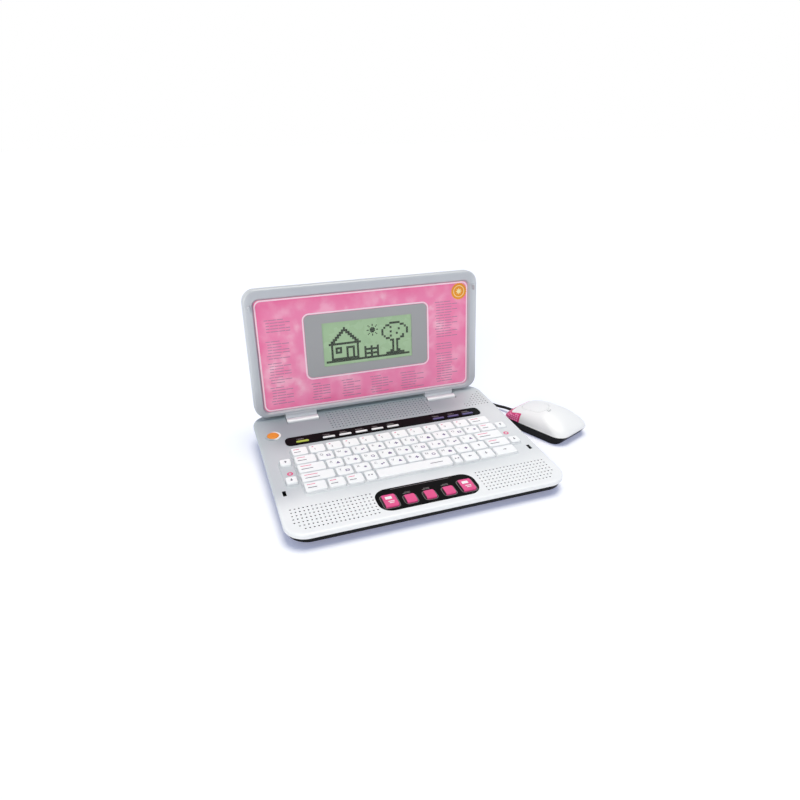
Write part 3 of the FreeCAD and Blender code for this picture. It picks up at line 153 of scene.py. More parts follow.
def make_table():
    edge = TABLE_SIZE / 2
    corners = [(-edge, -edge, 0), (edge, -edge, 0), (edge, edge, 0), (-edge, edge, 0)]
    table = put_in_scene("table_top", mesh_of("table_top", corners, [(0, 1, 2, 3)]))
    material = bpy.data.materials.new("pale_table")
    material.use_nodes = True
    paint = Paint(material.node_tree)
    matt = paint.node("ShaderNodeBsdfDiffuse", {}, {"Color": TABLE_COLOUR})
    glow = paint.node("ShaderNodeEmission", {}, {"Color": TABLE_GLOW_COLOUR, "Strength": TABLE_GLOW_LEVEL})
    share = seen_share(paint, TABLE_GLOW)
    paint.node("ShaderNodeMixShader", {}, {0: share, 1: matt, 2: glow}).feed("Surface", "Material Output")
    table.data.materials.append(material)


def make_room():
    scene = bpy.context.scene
    scene.view_settings.view_transform = "Standard"
    scene.world = bpy.data.worlds.new("studio")
    scene.world.use_nodes = True
    paint = Paint(scene.world.node_tree)
    sky = paint.node("ShaderNodeBackground", {}, {"Color": SKY_COLOUR, "Strength": SKY_LEVEL})
    white = paint.node("ShaderNodeBackground", {}, {"Color": BACKDROP_COLOUR, "Strength": BACKDROP_LEVEL})
    share = seen_share(paint, 1.0)
    paint.node("ShaderNodeMixShader", {}, {0: share, 1: sky, 2: white}).feed("Surface", "World Output")
    for name, (strength, lean) in LAMPS.items():
        light = bpy.data.lights.new(name, "SUN")
        light.energy = strength
        light.color = LAMP_COLOUR
        light.angle = LAMP_WIDTH
        put_in_scene(name, light).rotation_euler = lean
    eye = bpy.data.cameras.new("camera")
    eye.lens = CAMERA_LENS
    eye.sensor_width = CAMERA_SENSOR
    eye.shift_x = CAMERA_SHIFT
    eye.shift_y = CAMERA_SHIFT
    eye.clip_start = CAMERA_NEAR
    camera = put_in_scene("camera", eye)
    camera.location = CAMERA_PLACE
    camera.rotation_euler = (-CAMERA_BACK).to_track_quat("-Z", "Y").to_euler()
    scene.camera = camera


make_table()
make_room()

# The black lower tub with its rubber feet, screws and battery door: satin black plastic from one mould,
# closed from below with steel screws, standing on round pads of soft rubber.
MM = 0.001
GRAIN_DEPTH = 0.05 * MM
GLOSS_SPREAD = 0.14
# The sockets of a Mix node for colours: its share, its two colours and its result.
MIX_SHARE, MIX_FIRST, MIX_SECOND, MIX_RESULT = 0, 6, 7, 2


def rgb(red, green, blue):
    """A colour as it shows on a screen, from 0 to 255, as the shader's own light values."""
    def light(part):
        share = part / 255
        return share / 12.92 if share <= 0.04045 else ((share + 0.055) / 1.055) ** 2.4
    return (light(red), light(green), light(blue), 1.0)


def new_finish(name, fixed=None):
    """A material with one principled shader, and the point on the surface that it is painted by."""
    material = bpy.data.materials.new(name)
    material.use_nodes = True
    shader = material.node_tree.nodes["Principled BSDF"]
    for socket, number in (fixed or {}).items():
        shader.inputs[socket].default_value = number
    return material, Paint(material.node_tree).node("ShaderNodeTexCoord", output="Object")


def blend_colours(mask, first, second):
    return mask.node("ShaderNodeMix", {"data_type": "RGBA"},
                     {MIX_SHARE: mask, MIX_FIRST: first, MIX_SECOND: second}, MIX_RESULT)


def noise(point, scale, detail=2.0):
    return point.node("ShaderNodeTexNoise", {}, {"Vector": point, "Scale": scale, "Detail": detail})


def shaded(colour, level):
    return tuple(min(1.0, part * level) for part in colour[:3]) + (1.0,)


def break_gloss(pattern, least, spread):
    """Lets a pattern vary the roughness of its finish, from the least one on."""
    (pattern * spread + least).feed("Roughness")


def raise_grain(pattern, strength):
    """Raises a pattern as a shallow grain of its finish."""
    grain = {"Strength": strength, "Distance": GRAIN_DEPTH, "Height": pattern}
    pattern.node("ShaderNodeBump", {}, grain).feed("Normal")


def moulded(name, colour, roughness, uneven=0.05, grain=0.15, grain_scale=1800.0, fixed=None):
    """Moulded plastic or rubber: a faintly uneven colour and a fine grain that also breaks up the gloss."""
    material, point = new_finish(name, fixed)
    cloud = noise(point, scale=30.0, detail=3.0)
    fine = noise(point, grain_scale)
    blend_colours(cloud, shaded(colour, 1 - uneven), shaded(colour, 1 + uneven)).feed("Base Color")
    break_gloss(fine, roughness - GLOSS_SPREAD / 2, GLOSS_SPREAD)
    raise_grain(fine, grain)
    return material


def dress(material, *names):
    """Puts a finish on the solids with these names."""
    for name in names:
        mesh = nodes[name].data
        mesh.materials.clear()
        mesh.materials.append(material)


black_shell = moulded("black_shell", rgb(15, 15, 18), roughness=0.42, uneven=0.15,
                      fixed={"Specular IOR Level": 0.15})
dress(black_shell, "bottom_case", "battery_door", "mouse_bottom")
black_rubber = moulded("black_rubber", rgb(30, 30, 32), roughness=0.7, uneven=0.2, grain=0.3,
                       fixed={"Specular IOR Level": 0.25})
dress(black_rubber, "rubber_feet", "mouse_feet", "cord_grommet", "mouse_boot")


def turned_steel():
    material, point = new_finish("zinc_steel", {"Metallic": 1.0})
    streak = noise(point, scale=900.0, detail=4.0)
    blend_colours(streak, rgb(150, 150, 152), rgb(196, 197, 200)).feed("Base Color")
    break_gloss(streak, least=0.22, spread=0.25)
    raise_grain(streak, strength=0.2)
    return material


dress(turned_steel(), "case_screws", "battery_door_screw", "lid_screws", "hinge_pins", "battery_contacts")

# The pieces shut inside the base: a silicone sheet under the keys, printed boards, a small loudspeaker
# and four cells, each laid in the tub before the deck goes on.
dress(moulded("silicone_sheet", rgb(196, 200, 204), roughness=0.6, uneven=0.08, grain=0.2), "key_membrane")


def printed_board():
    material, point = new_finish("printed_board", {"Coat Weight": 0.3})
    tracks = point.node("ShaderNodeTexBrick", {"offset": 0.5},
                        {"Vector": point, "Scale": 220.0, "Mortar Size": 0.06, "Color1": rgb(26, 92, 52),
                         "Color2": rgb(32, 108, 60), "Mortar": rgb(120, 160, 90)})
    tracks.feed("Base Color")
    break_gloss(noise(point, scale=500.0), least=0.35, spread=0.2)
    return material


dress(printed_board(), "main_board", "lcd_board", "mouse_board")
dress(moulded("speaker_metal", rgb(92, 92, 96), roughness=0.45, uneven=0.2, grain=0.3), "speaker")
dress(moulded("cell_jacket", rgb(60, 88, 150), roughness=0.4, uneven=0.1, grain=0.05), "batteries")

# The deck: one pearl moulding with a fine metal flake, white at the palm rest, held to the tub by screws
# from below. Grey is painted over the middle of the deck as painted shade round the keys, and darker grey
# towards the hinge as the lid's painted shadow and reflection. It has openings for the keys, a rounded lip
# over the tub and rows of sound holes sunk into it, with painted shade inside the holes and the hook
# slots and a painted highlight on the right of the power button's ring.
DECK_HEIGHT = 22.5 * MM
DECK_SLOPE = math.radians(2.8)
DECK = Matrix.Translation((0, 0, DECK_HEIGHT)) @ Matrix.Rotation(DECK_SLOPE, 4, "X")
DECK_RIGHT, DECK_BACK, DECK_UP, DECK_MIDDLE = (column.to_3d() for column in DECK.col)
SHARP_ANGLE = math.radians(28)
WELD_REACH = 1e-6
# The sound holes, in millimetres on the deck: rings of a hole from its mouth down as radius and height,
# the outer hole of a palm rest's back row, and the rear holes' places from the front row on.
HOLE_PROFILE = ((1.0, 0.06), (0.76, -0.3), (0.76, -1.5))
HOLE_SIDES = 10
HOLE_PITCH = 4.1
HOLE_ROW_PITCH = 5.05
PALM_HOLE = (134.6, -73.4)
PALM_HOLE_ROWS = 7
PALM_HOLE_WHOLE_ROWS = 5
PALM_HOLE_COLUMNS = 20
REAR_HOLE_FRONT = 60.2
REAR_HOLE_ROWS = 8
GRILLE_MIDDLE = 2.5
GRILLE_COLUMNS = range(-15, 16)
CORNER_HOLE_RIGHT = 138.4
CORNER_HOLE_COLUMNS = 8
CORNER_HOLE_EDGE = (108.0, 63.7)
# Colours, and where each tint begins and is full, in metres on the deck. The two greys are painted
# shade: round the keys, and the lid's painted shadow and reflection towards the hinge, both lighter at the
# right end and the lid's shadow also at the left end.
PALM_WHITE = rgb(243, 244, 246)
SHADED_DECK_GREY = rgb(199, 204, 209)
LID_SHADOW_GREY = rgb(151, 164, 170)
# A painted highlight for the right side of the power button's ring.
RING_HIGHLIGHT = rgb(244, 242, 240)
# Painted shade inside the sound holes and the hook slots.
HOLE_AND_SLOT_SHADE = rgb(44, 46, 52)
FLAKE_SCALE = 4200.0
FLAKE_BRIGHT = rgb(255, 255, 255)
DECK_SHADE_BLEND = (-0.085, -0.040)
DECK_SHADE_DRIFT = 0.02
DECK_SHADE_FADE_RIGHT = 0.5
LID_SHADOW_BLEND = (0.020, 0.068)
LID_SHADOW_DRIFT = 0.01
LID_SHADOW_SLANT = 0.06
LID_SHADOW_FADE_RIGHT = 0.75
LID_SHADOW_FADE_LEFT = 0.6
LIGHTER_RIGHT_END_BLEND = (0.070, 0.135)
LIGHTER_LEFT_END_BLEND = (0.112, 0.142)
# The raised ring round the power button, whose place is in millimetres, and its painted highlight.
POWER_PLACE = (-127.8, 62.0)
RING_RADIUS = 9.2 * MM
RING_PROUD = 0.05 * MM
RING_HIGHLIGHT_BLEND = (-2.0 * MM, 4.0 * MM)
# The flat field that holes lie in, how deep the painted shade inside them reaches, and the palm rests and
# grilles in it.
FLAT_HALF_DEPTH = 0.109
FLAT_HALF_WIDTH = 0.1415
FLAT_CORNER = 0.236
SUNK_TOP = -0.22 * MM
SUNK_BOTTOM = -2.2 * MM
PALM_BACK = -0.066
GRILLE_FRONT = 0.054
GRILLE_HALF_WIDTH = 0.0675
CORNER_LEFT = 0.1065
# The two slots for the lid's hooks: their middles, half sizes and the depth below the deck where their
# painted shade begins.
SLOT_ACROSS = 0.13503
SLOT_ALONG = -0.047
SLOT_HALF_WIDTH = 2.0 * MM
SLOT_HALF_DEPTH = 4.4 * MM
SLOT_TOP = -0.12 * MM


def add_piece(name, mesh, material, body):
    """Adds a piece with its finish to a body of the object."""
    piece = put_in_scene(name, mesh)
    mesh.materials.append(material)
    if body:
        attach(piece, body)
    return piece


def sound_holes():
    """Places of the holes on the deck, in millimetres: both palm rests, the rear grille and a rear corner."""
    places = []
    for row in range(PALM_HOLE_ROWS):
        y = PALM_HOLE[1] - HOLE_ROW_PITCH * row
        for column in range(max(0, row + 1 - PALM_HOLE_WHOLE_ROWS), PALM_HOLE_COLUMNS):
            x = PALM_HOLE[0] - HOLE_PITCH * column
            places += [(-x, y), (x, y)]
    corner = [CORNER_HOLE_RIGHT - HOLE_PITCH * column for column in range(CORNER_HOLE_COLUMNS)]
    for row in range(REAR_HOLE_ROWS):
        y = REAR_HOLE_FRONT + HOLE_ROW_PITCH * row
        places += [(GRILLE_MIDDLE + HOLE_PITCH * column, y) for column in GRILLE_COLUMNS]
        places += [(x, y) for x in corner if y - CORNER_HOLE_EDGE[1] < x - CORNER_HOLE_EDGE[0]]
    return places


def hole_tools(places):
    """Countersunk plugs that are taken out of the deck."""
    points, faces = [], []
    for x, y in places:
        first = len(points)
        for radius, z in HOLE_PROFILE:
            for side in range(HOLE_SIDES):
                angle = 2 * math.pi * side / HOLE_SIDES
                place = Vector((x + radius * math.cos(angle), y + radius * math.sin(angle), z)) * MM
                points.append(DECK @ place)
        faces.append(range(first, first + HOLE_SIDES))
        for ring in range(len(HOLE_PROFILE) - 1):
            upper = first + ring * HOLE_SIDES
            lower = upper + HOLE_SIDES
            for side in range(HOLE_SIDES):
                turn = (side + 1) % HOLE_SIDES
                faces.append((upper + side, lower + side, lower + turn, upper + turn))
        faces.append(range(len(points) - 1, len(points) - 1 - HOLE_SIDES, -1))
    return mesh_of("hole_tools", points, faces)


def welded(mesh):
    """A copy of a solid's mesh with its split corners joined again."""
    joined = bmesh.new()
    joined.from_mesh(mesh)
    bmesh.ops.remove_doubles(joined, verts=joined.verts, dist=WELD_REACH)
    return joined


def perforated_deck():
    shell = welded(nodes["top_case"].data)
    blank = bpy.data.meshes.new("deck_blank")
    shell.to_mesh(blank)
    shell.free()
    blank.attributes.remove(blank.attributes["custom_normal"])
    work = put_in_scene("deck_blank", blank)
    tools = put_in_scene("hole_tools", hole_tools(sound_holes()))
    cut = work.modifiers.new("holes", "BOOLEAN")
    cut.operation = "DIFFERENCE"
    cut.solver = "MANIFOLD"
    cut.object = tools
    mesh = bpy.data.meshes.new_from_object(work.evaluated_get(bpy.context.evaluated_depsgraph_get()))
    for item in (work, tools):
        bpy.data.objects.remove(item)
    mesh.name = "perforated_deck"
    mesh.materials.clear()
    mesh.polygons.foreach_set("use_smooth", [True] * len(mesh.polygons))
    mesh.set_sharp_from_angle(angle=SHARP_ANGLE)
    return mesh


def measure(point, origin, way):
    """How far a point lies from an origin along a direction."""
    offset = point.node("ShaderNodeVectorMath", {"operation": "SUBTRACT"}, {0: point, 1: origin})
    return point.node("ShaderNodeVectorMath", {"operation": "DOT_PRODUCT"}, {0: offset, 1: way}, "Value")


def smooth_step(value, low, high):
    return value.node("ShaderNodeMapRange", {"interpolation_type": "SMOOTHSTEP"},
                      {"Value": value, "From Min": low, "From Max": high})


def with_flakes(flake, colour, dull, share):
    """A colour with fine flakes in it that range from a dull to a bright white."""
    flakes = blend_colours(flake, dull, FLAKE_BRIGHT)
    return flake.node("ShaderNodeMix", {"data_type": "RGBA", "blend_type": "MULTIPLY"},
                      {MIX_SHARE: share, MIX_FIRST: colour, MIX_SECOND: flakes}, MIX_RESULT)


def deck_finish():
    material, point = new_finish("pearl_deck", {"Coat Weight": 0.15, "Coat Roughness": 0.2})
    across = measure(point, DECK_MIDDLE, DECK_RIGHT)
    along = measure(point, DECK_MIDDLE, DECK_BACK)
    above = measure(point, DECK_MIDDLE, DECK_UP)
    flake = noise(point, FLAKE_SCALE)
    cloud = noise(point, scale=24.0, detail=3.0) - 0.5
    # Painted shade round the keys and the lid's painted shadow and reflection near the hinge, lighter at the
    # ends.
    lighter_right_end = smooth_step(across, *LIGHTER_RIGHT_END_BLEND)
    lighter_left_end = smooth_step(0.0 - across, *LIGHTER_LEFT_END_BLEND)
    deck_shade = smooth_step(along + cloud * DECK_SHADE_DRIFT, *DECK_SHADE_BLEND)
    deck_shade = deck_shade * (1.0 - lighter_right_end * DECK_SHADE_FADE_RIGHT)
    # The lid's painted shadow and reflection towards the hinge.
    rear = smooth_step(along - across * LID_SHADOW_SLANT + cloud * LID_SHADOW_DRIFT, *LID_SHADOW_BLEND)
    rear = rear * (1.0 - lighter_right_end * LID_SHADOW_FADE_RIGHT) * (1.0 - lighter_left_end * LID_SHADOW_FADE_LEFT)
    colour = blend_colours(deck_shade, PALM_WHITE, SHADED_DECK_GREY)
    colour = blend_colours(rear, colour, LID_SHADOW_GREY)
    pearl = with_flakes(flake, colour, dull=rgb(236, 236, 238), share=0.5)
    power_middle = DECK @ (Vector((*POWER_PLACE, 0)) * MM)
    power_x = measure(point, power_middle, DECK_RIGHT)
    power_y = measure(point, power_middle, DECK_BACK)
    # A painted highlight on the top of the power button's raised ring, towards its right side.
    ring = (power_x * power_x + power_y * power_y < RING_RADIUS ** 2) * (above > RING_PROUD)
    ring = ring * smooth_step(power_x, *RING_HIGHLIGHT_BLEND)
    flat = (abs(along) < FLAT_HALF_DEPTH) * (abs(across) < FLAT_HALF_WIDTH)
    flat = flat * (abs(along) + abs(across) < FLAT_CORNER)
    # Painted shade on the walls and floors of the sound holes and the hook slots.
    sunk = (above < SUNK_TOP) * (above > SUNK_BOTTOM) * flat
    palm = along < PALM_BACK
    grille = (along > GRILLE_FRONT) * ((abs(across) < GRILLE_HALF_WIDTH) + (across > CORNER_LEFT))
    slot = (abs(abs(across) - SLOT_ACROSS) < SLOT_HALF_WIDTH) * (abs(along - SLOT_ALONG) < SLOT_HALF_DEPTH)
    slot = slot * (above < SLOT_TOP)
    dark = point.math("MINIMUM", sunk * (palm + grille) + slot, 1.0)
    painted = blend_colours(ring, pearl, RING_HIGHLIGHT)
    blend_colours(dark, painted, HOLE_AND_SLOT_SHADE).feed("Base Color")
    break_gloss(flake, least=0.3, spread=0.16)
    raise_grain(flake, strength=0.08)
    return material


deck = add_piece("deck", perforated_deck(), deck_finish(), "base")
deck.modifiers.new("flat_faces_stay_flat", "WEIGHTED_NORMAL").keep_sharp = True
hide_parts("top_case")

# The function strip and the front panel: flat plates of hard, glossy black plastic, glued into shallow
# pockets of the deck. Coloured bars and pink buttons stand in their openings; pale lines are printed on.
FINE_GRAIN = 2600.0
PLATE_TOP = 0.6
PRINT_LIFT = 0.04
LINE_THICKNESS = 0.7
TOP_FLATNESS = 0.05
BAR_FINISHES = {"mode_bar_key": ("bar_green", rgb(182, 196, 78)),
                "activity_bar_keys": ("bar_white", rgb(240, 240, 242)),
                "player_bar_keys": ("bar_purple", rgb(92, 86, 134))}
# Lines behind a bar: way to the left, way behind, share of the bar's width, and how the share changes
# over how many bars.
BAR_LINES = ((1.0, 4.4, 0.5, 0.1, 3), (2.0, 5.8, 0.6, -0.1, 2))
PINK_BUTTONS = ["left_large_button", "left_small_button", "middle_small_button", "right_small_button",
                "right_large_button"]
BUTTON_PINKS = (rgb(218, 66, 128), rgb(234, 84, 146))
# The side walls of the buttons are painted black as painted shade in the gap round each cap.
BUTTON_GAP_SHADE = rgb(34, 22, 28)
BUTTON_GAP_SHADE_BLEND = 0.4 * MM
# The frame round a button: the room that its outer and its inner edge add to the cap, and their corners.
BUTTON_FRAME = ((4.0, 4.0), (2.6, 3.3))
# Lines behind a small button: way to the right, way behind its back edge and share of its width.
BUTTON_LINES = ((-0.6, 4.6, 0.8), (0.4, 6.2, 0.6))
# The mark on a large button, a patch and two lines: way to the right, and shares of depth and width.
MARK_PATCH_RIGHT, MARK_PATCH_BACK, MARK_PATCH_WIDTH, MARK_PATCH_DEPTH = -0.6, 0.2, 0.5, 0.24
MARK_LINES = ((0.6, -0.12, 0.46), (0.6, -0.25, 0.36))
MARK_LINE_THICKNESS = 1.1
PANEL_LINE = (-5.0, -73.6, 62.0, 0.6)
black_gloss = moulded("black_gloss", rgb(9, 10, 11), roughness=0.3, uneven=0.2, grain=0.02,
                      fixed={"Specular IOR Level": 0.04})
dress(black_gloss, "function_strip", "button_panel")
for bar_name, (bar_finish, bar_colour) in BAR_FINISHES.items():
    dress(moulded(bar_finish, bar_colour, roughness=0.35), bar_name)


def printed(name, colour, uneven=0.12):
    """Screen-printed ink: a matt film with small breaks in its density."""
    return moulded(name, colour, roughness=0.5, uneven=uneven, grain=0.05, grain_scale=FINE_GRAIN)


def bar(x, y, width, depth):
    """The corners of a small upright rectangle round a middle."""
    right, back = width / 2, depth / 2
    return [(x - right, y - back), (x + right, y - back), (x + right, y + back), (x - right, y + back)]


def rounded(x, y, width, depth, radius, steps=6):
    """The outline of a rectangle with round corners."""
    outline = []
    for corner, (side, end) in enumerate(((1, 1), (-1, 1), (-1, -1), (1, -1))):
        for step in range(steps + 1):
            angle = math.pi / 2 * (corner + step / steps)
            outline.append((x + side * (width / 2 - radius) + radius * math.cos(angle),
                            y + end * (depth / 2 - radius) + radius * math.sin(angle)))
    return outline


def band(outer, inner):
    """Faces that fill the space between two outlines with as many corners."""
    count = len(outer)
    return [[outer[i], outer[(i + 1) % count], inner[(i + 1) % count], inner[i]] for i in range(count)]


def framed(x, y, width, depth, edges):
    """A line round a rectangle, between an outer and an inner edge with round corners."""
    return band(*(rounded(x, y, width + room, depth + room, corner) for room, corner in edges))


def ink(name, place, outlines, height, material, body):
    """Printed shapes as a thin film at a height over a flat face, in millimetres on that face."""
    points, faces = [], []
    for outline in outlines:
        faces.append(range(len(points), len(points) + len(outline)))
        points += [place @ (Vector((x, y, height)) * MM) for x, y in outline]
    add_piece(name, mesh_of(name, points, faces), material, body)


def caps_of(name):
    """The flat tops of a solid's caps from left to right: middle, width, depth and height on the deck."""
    solid = welded(nodes[name].data)
    to_deck = DECK.inverted()
    unseen = set(solid.verts)
    tops = []
    while unseen:
        group, ends = [], [unseen.pop()]
        while ends:
            corner = ends.pop()
            group.append(to_deck @ corner.co / MM)
            near = {edge.other_vert(corner) for edge in corner.link_edges} & unseen
            unseen -= near
            ends += near
        height = max(point.z for point in group)
        flat = [point for point in group if point.z > height - TOP_FLATNESS]
        left, right = min(point.x for point in flat), max(point.x for point in flat)
        front, back = min(point.y for point in flat), max(point.y for point in flat)
        tops.append(((left + right) / 2, (front + back) / 2, right - left, back - front, height))
    solid.free()
    return sorted(tops)


def button_finish(name):
    """A pink cap whose two side walls, outside the flat of its top, are painted black as shade in the gap
    round it.
    """
    x, y, width, _, height = caps_of(name)[0]
    material, point = new_finish(f"{name}_finish")
    across = abs(measure(point, DECK @ (Vector((x, y, height)) * MM), DECK_RIGHT)) - width / 2 * MM
    # The painted shade on the side walls, outside the flat of the cap's top.
    pink = 1.0 - smooth_step(across, 0.0, BUTTON_GAP_SHADE_BLEND)
    cloud = noise(point, scale=60.0, detail=3.0)
    cap = blend_colours(cloud, *BUTTON_PINKS)
    blend_colours(pink, BUTTON_GAP_SHADE, cap).feed("Base Color")
    break_gloss(cloud, least=0.26, spread=0.14)
    return material


def print_plates():
    """Pale lines behind the bars, thin frames round the buttons and marks on the two large ones."""
    dim = printed("dim_print", rgb(112, 106, 108))
    white = printed("white_print", rgb(244, 240, 242))
    lines = []
    for name in BAR_FINISHES:
        for index, (x, y, width, *_) in enumerate(caps_of(name)):
            lines += [bar(x - left, y + behind, width * (share + change * (index % bars)), LINE_THICKNESS)
                      for left, behind, share, change, bars in BAR_LINES]
    ink("strip_lines", DECK, lines, PLATE_TOP + PRINT_LIFT, dim, "base")
    frames = []
    for name in PINK_BUTTONS:
        dress(button_finish(name), name)
        x, y, width, depth, height = caps_of(name)[0]
        frames += framed(x, y, width, depth, BUTTON_FRAME)
        if "small" in name:
            frames += [bar(x + right, y + depth / 2 + behind, width * share, LINE_THICKNESS)
                       for right, behind, share in BUTTON_LINES]
        else:
            mark = [bar(x + MARK_PATCH_RIGHT, y + depth * MARK_PATCH_BACK,
                        width * MARK_PATCH_WIDTH, depth * MARK_PATCH_DEPTH)]
            mark += [bar(x + right, y + depth * back, width * share, MARK_LINE_THICKNESS)
                     for right, back, share in MARK_LINES]
            ink(f"{name}_mark", DECK, mark, height + PRINT_LIFT, white, name)
    frames.append(bar(*PANEL_LINE))
    ink("panel_lines", DECK, frames, PLATE_TOP + PRINT_LIFT, dim, "base")


print_plates()

# The power button: a round orange cap of smooth plastic from one mould. It stands in a raised ring of the
# deck, which carries a painted highlight on its right side, and is put in from below.
dress(moulded("orange_plastic", rgb(228, 138, 30), roughness=0.3, uneven=0.1, grain=0.06), "power_button")

# The keys: white plastic caps with tapered sides, each on a wider flange that the deck holds down.
# Letters and numbers are printed dark on the caps, with a small plain picture beside each letter.
KEYS = [name for name in nodes if name.endswith(("_key", "_keys")) and "bar_key" not in name] + ["space_bar"]
dress(moulded("key_white", rgb(246, 247, 249), roughness=0.36, uneven=0.02, grain=0.1), *KEYS)
LETTERS = {"number_keys": "1234567890", "upper_letter_keys": "QWERTZUIOP", "middle_letter_keys": "ASDFGHJKL",
           "lower_letter_keys": "YXCVBNM,."}
LETTER_HEIGHT = 4.6
LETTER_CURVE_STEPS = 3
# Places on a cap in millimetres: a letter or number from the left edge and the middle, the dash over a
# number from the left and back edges, and a letter's picture from the middle by a share of the width. The
# step is the one from a letter's picture to the next letter's.
LETTER_PLACE = (3.8, 1.6)
NUMBER_PLACE = (5.2, -1.6)
DASH_LEFT, DASH_BACK, DASH_WIDTH, DASH_DEPTH = 3.4, -3.0, 1.8, 1.2
PICTURE_RIGHT, PICTURE_BACK, PICTURE_SIZE, PICTURE_STEP = 0.2, -1.0, 2.2, 3
# The line on a cap as wide as the space bar, and the pink and dark lines on other wide caps, with places
# and lengths as shares of the width.
SPACE_BAR_LEAST_WIDTH = 40
SPACE_LINE_RIGHT, SPACE_LINE_BACK, SPACE_LINE_WIDTH = 0.3, -0.4, 14.0
WIDE_CAP_LEAST_WIDTH = 14
PINK_LINE_LEFT, PINK_LINE_BACK, PINK_LINE_WIDTH = 0.3, -3.4, 0.42
DARK_LINE_LEFT, DARK_LINE_BACK, DARK_LINE_WIDTH = 0.32, -2.2, 0.46
KEY_LINE_THICKNESS = 0.9
DARK_LINE_THICKNESS = 1.0
# Two dots side by side on a narrow cap.
DOT_SIDEWAYS, DOT_RADIUS, DOT_SIDES = 1.6, 0.9, 10
# The way each arrow points, for the keys from left to right and then from the front to the back.
ARROWS = {"arrow_keys": (180, 90, 270, 0), "left_side_keys": (270, 90), "right_side_keys": (270, 90)}
ARROW_SIZE = 2.0
# The rings printed between the side keys, on the raised surround of the keys.
SIDE_RING_PLACES = ((-123.8, -17.6), (123.8, -14.6))
SIDE_RING_OUTSIDE, SIDE_RING_INSIDE = 3.1, 1.5
SURROUND_TOP = 1.2


def circle(x, y, radius, sides=20):
    angles = [2 * math.pi * side / sides for side in range(sides)]
    return [(x + radius * math.cos(angle), y + radius * math.sin(angle)) for angle in angles]


def letter_outlines(character):
    """The faces of one letter or number, one unit high, round its middle."""
    text = bpy.data.curves.new("letter", "FONT")
    text.body = character
    text.align_x = "CENTER"
    text.align_y = "CENTER"
    text.resolution_u = LETTER_CURVE_STEPS
    drawn = put_in_scene("letter", text)
    mesh = bpy.data.meshes.new_from_object(drawn)
    faces = [[tuple(mesh.vertices[index].co[:2]) for index in face.vertices] for face in mesh.polygons]
    bpy.data.objects.remove(drawn)
    bpy.data.meshes.remove(mesh)
    return faces


def placed(outlines, x, y, size, turn=0.0):
    """Outlines made larger, turned by some degrees and moved to a place."""
    cosine, sine = math.cos(math.radians(turn)), math.sin(math.radians(turn))
    return [[(x + size * (a * cosine - b * sine), y + size * (a * sine + b * cosine)) for a, b in outline]
            for outline in outlines]


def star(points, inner):
    rim = [(1.0 if index % 2 == 0 else inner) for index in range(2 * points)]
    return [(radius * math.sin(math.pi * index / points), radius * math.cos(math.pi * index / points))
            for index, radius in enumerate(rim)]


# An arrow that points right, and the small pictures: a ring, a frame, a peak, a hut, a star, a cross,
# a diamond and a pair of balls, each about two units wide.
ARROW = [(1.0, 0.0), (0.1, 0.8), (0.1, 0.25), (-1.0, 0.25), (-1.0, -0.25), (0.1, -0.25), (0.1, -0.8)]
PICTURES = [
    band(circle(0, 0, 1.0, 12), circle(0, 0, 0.6, 12)),
    band(bar(0, 0, 1.9, 1.6), bar(0, 0, 1.1, 0.8)),
    [[(-1.0, -0.8), (1.0, -0.8), (0.0, 1.0)]],
    [[(-0.9, -0.9), (0.9, -0.9), (0.9, 0.1), (0.0, 1.0), (-0.9, 0.1)]],
    [star(5, 0.45)],
    [bar(0, 0, 2.0, 0.6), bar(0, 0.65, 0.6, 0.7), bar(0, -0.65, 0.6, 0.7)],
    [[(0.0, 1.0), (-0.9, 0.0), (0.0, -1.0), (0.9, 0.0)]],
    [circle(-0.5, -0.3, 0.55, 10), circle(0.55, 0.25, 0.45, 10)],
]


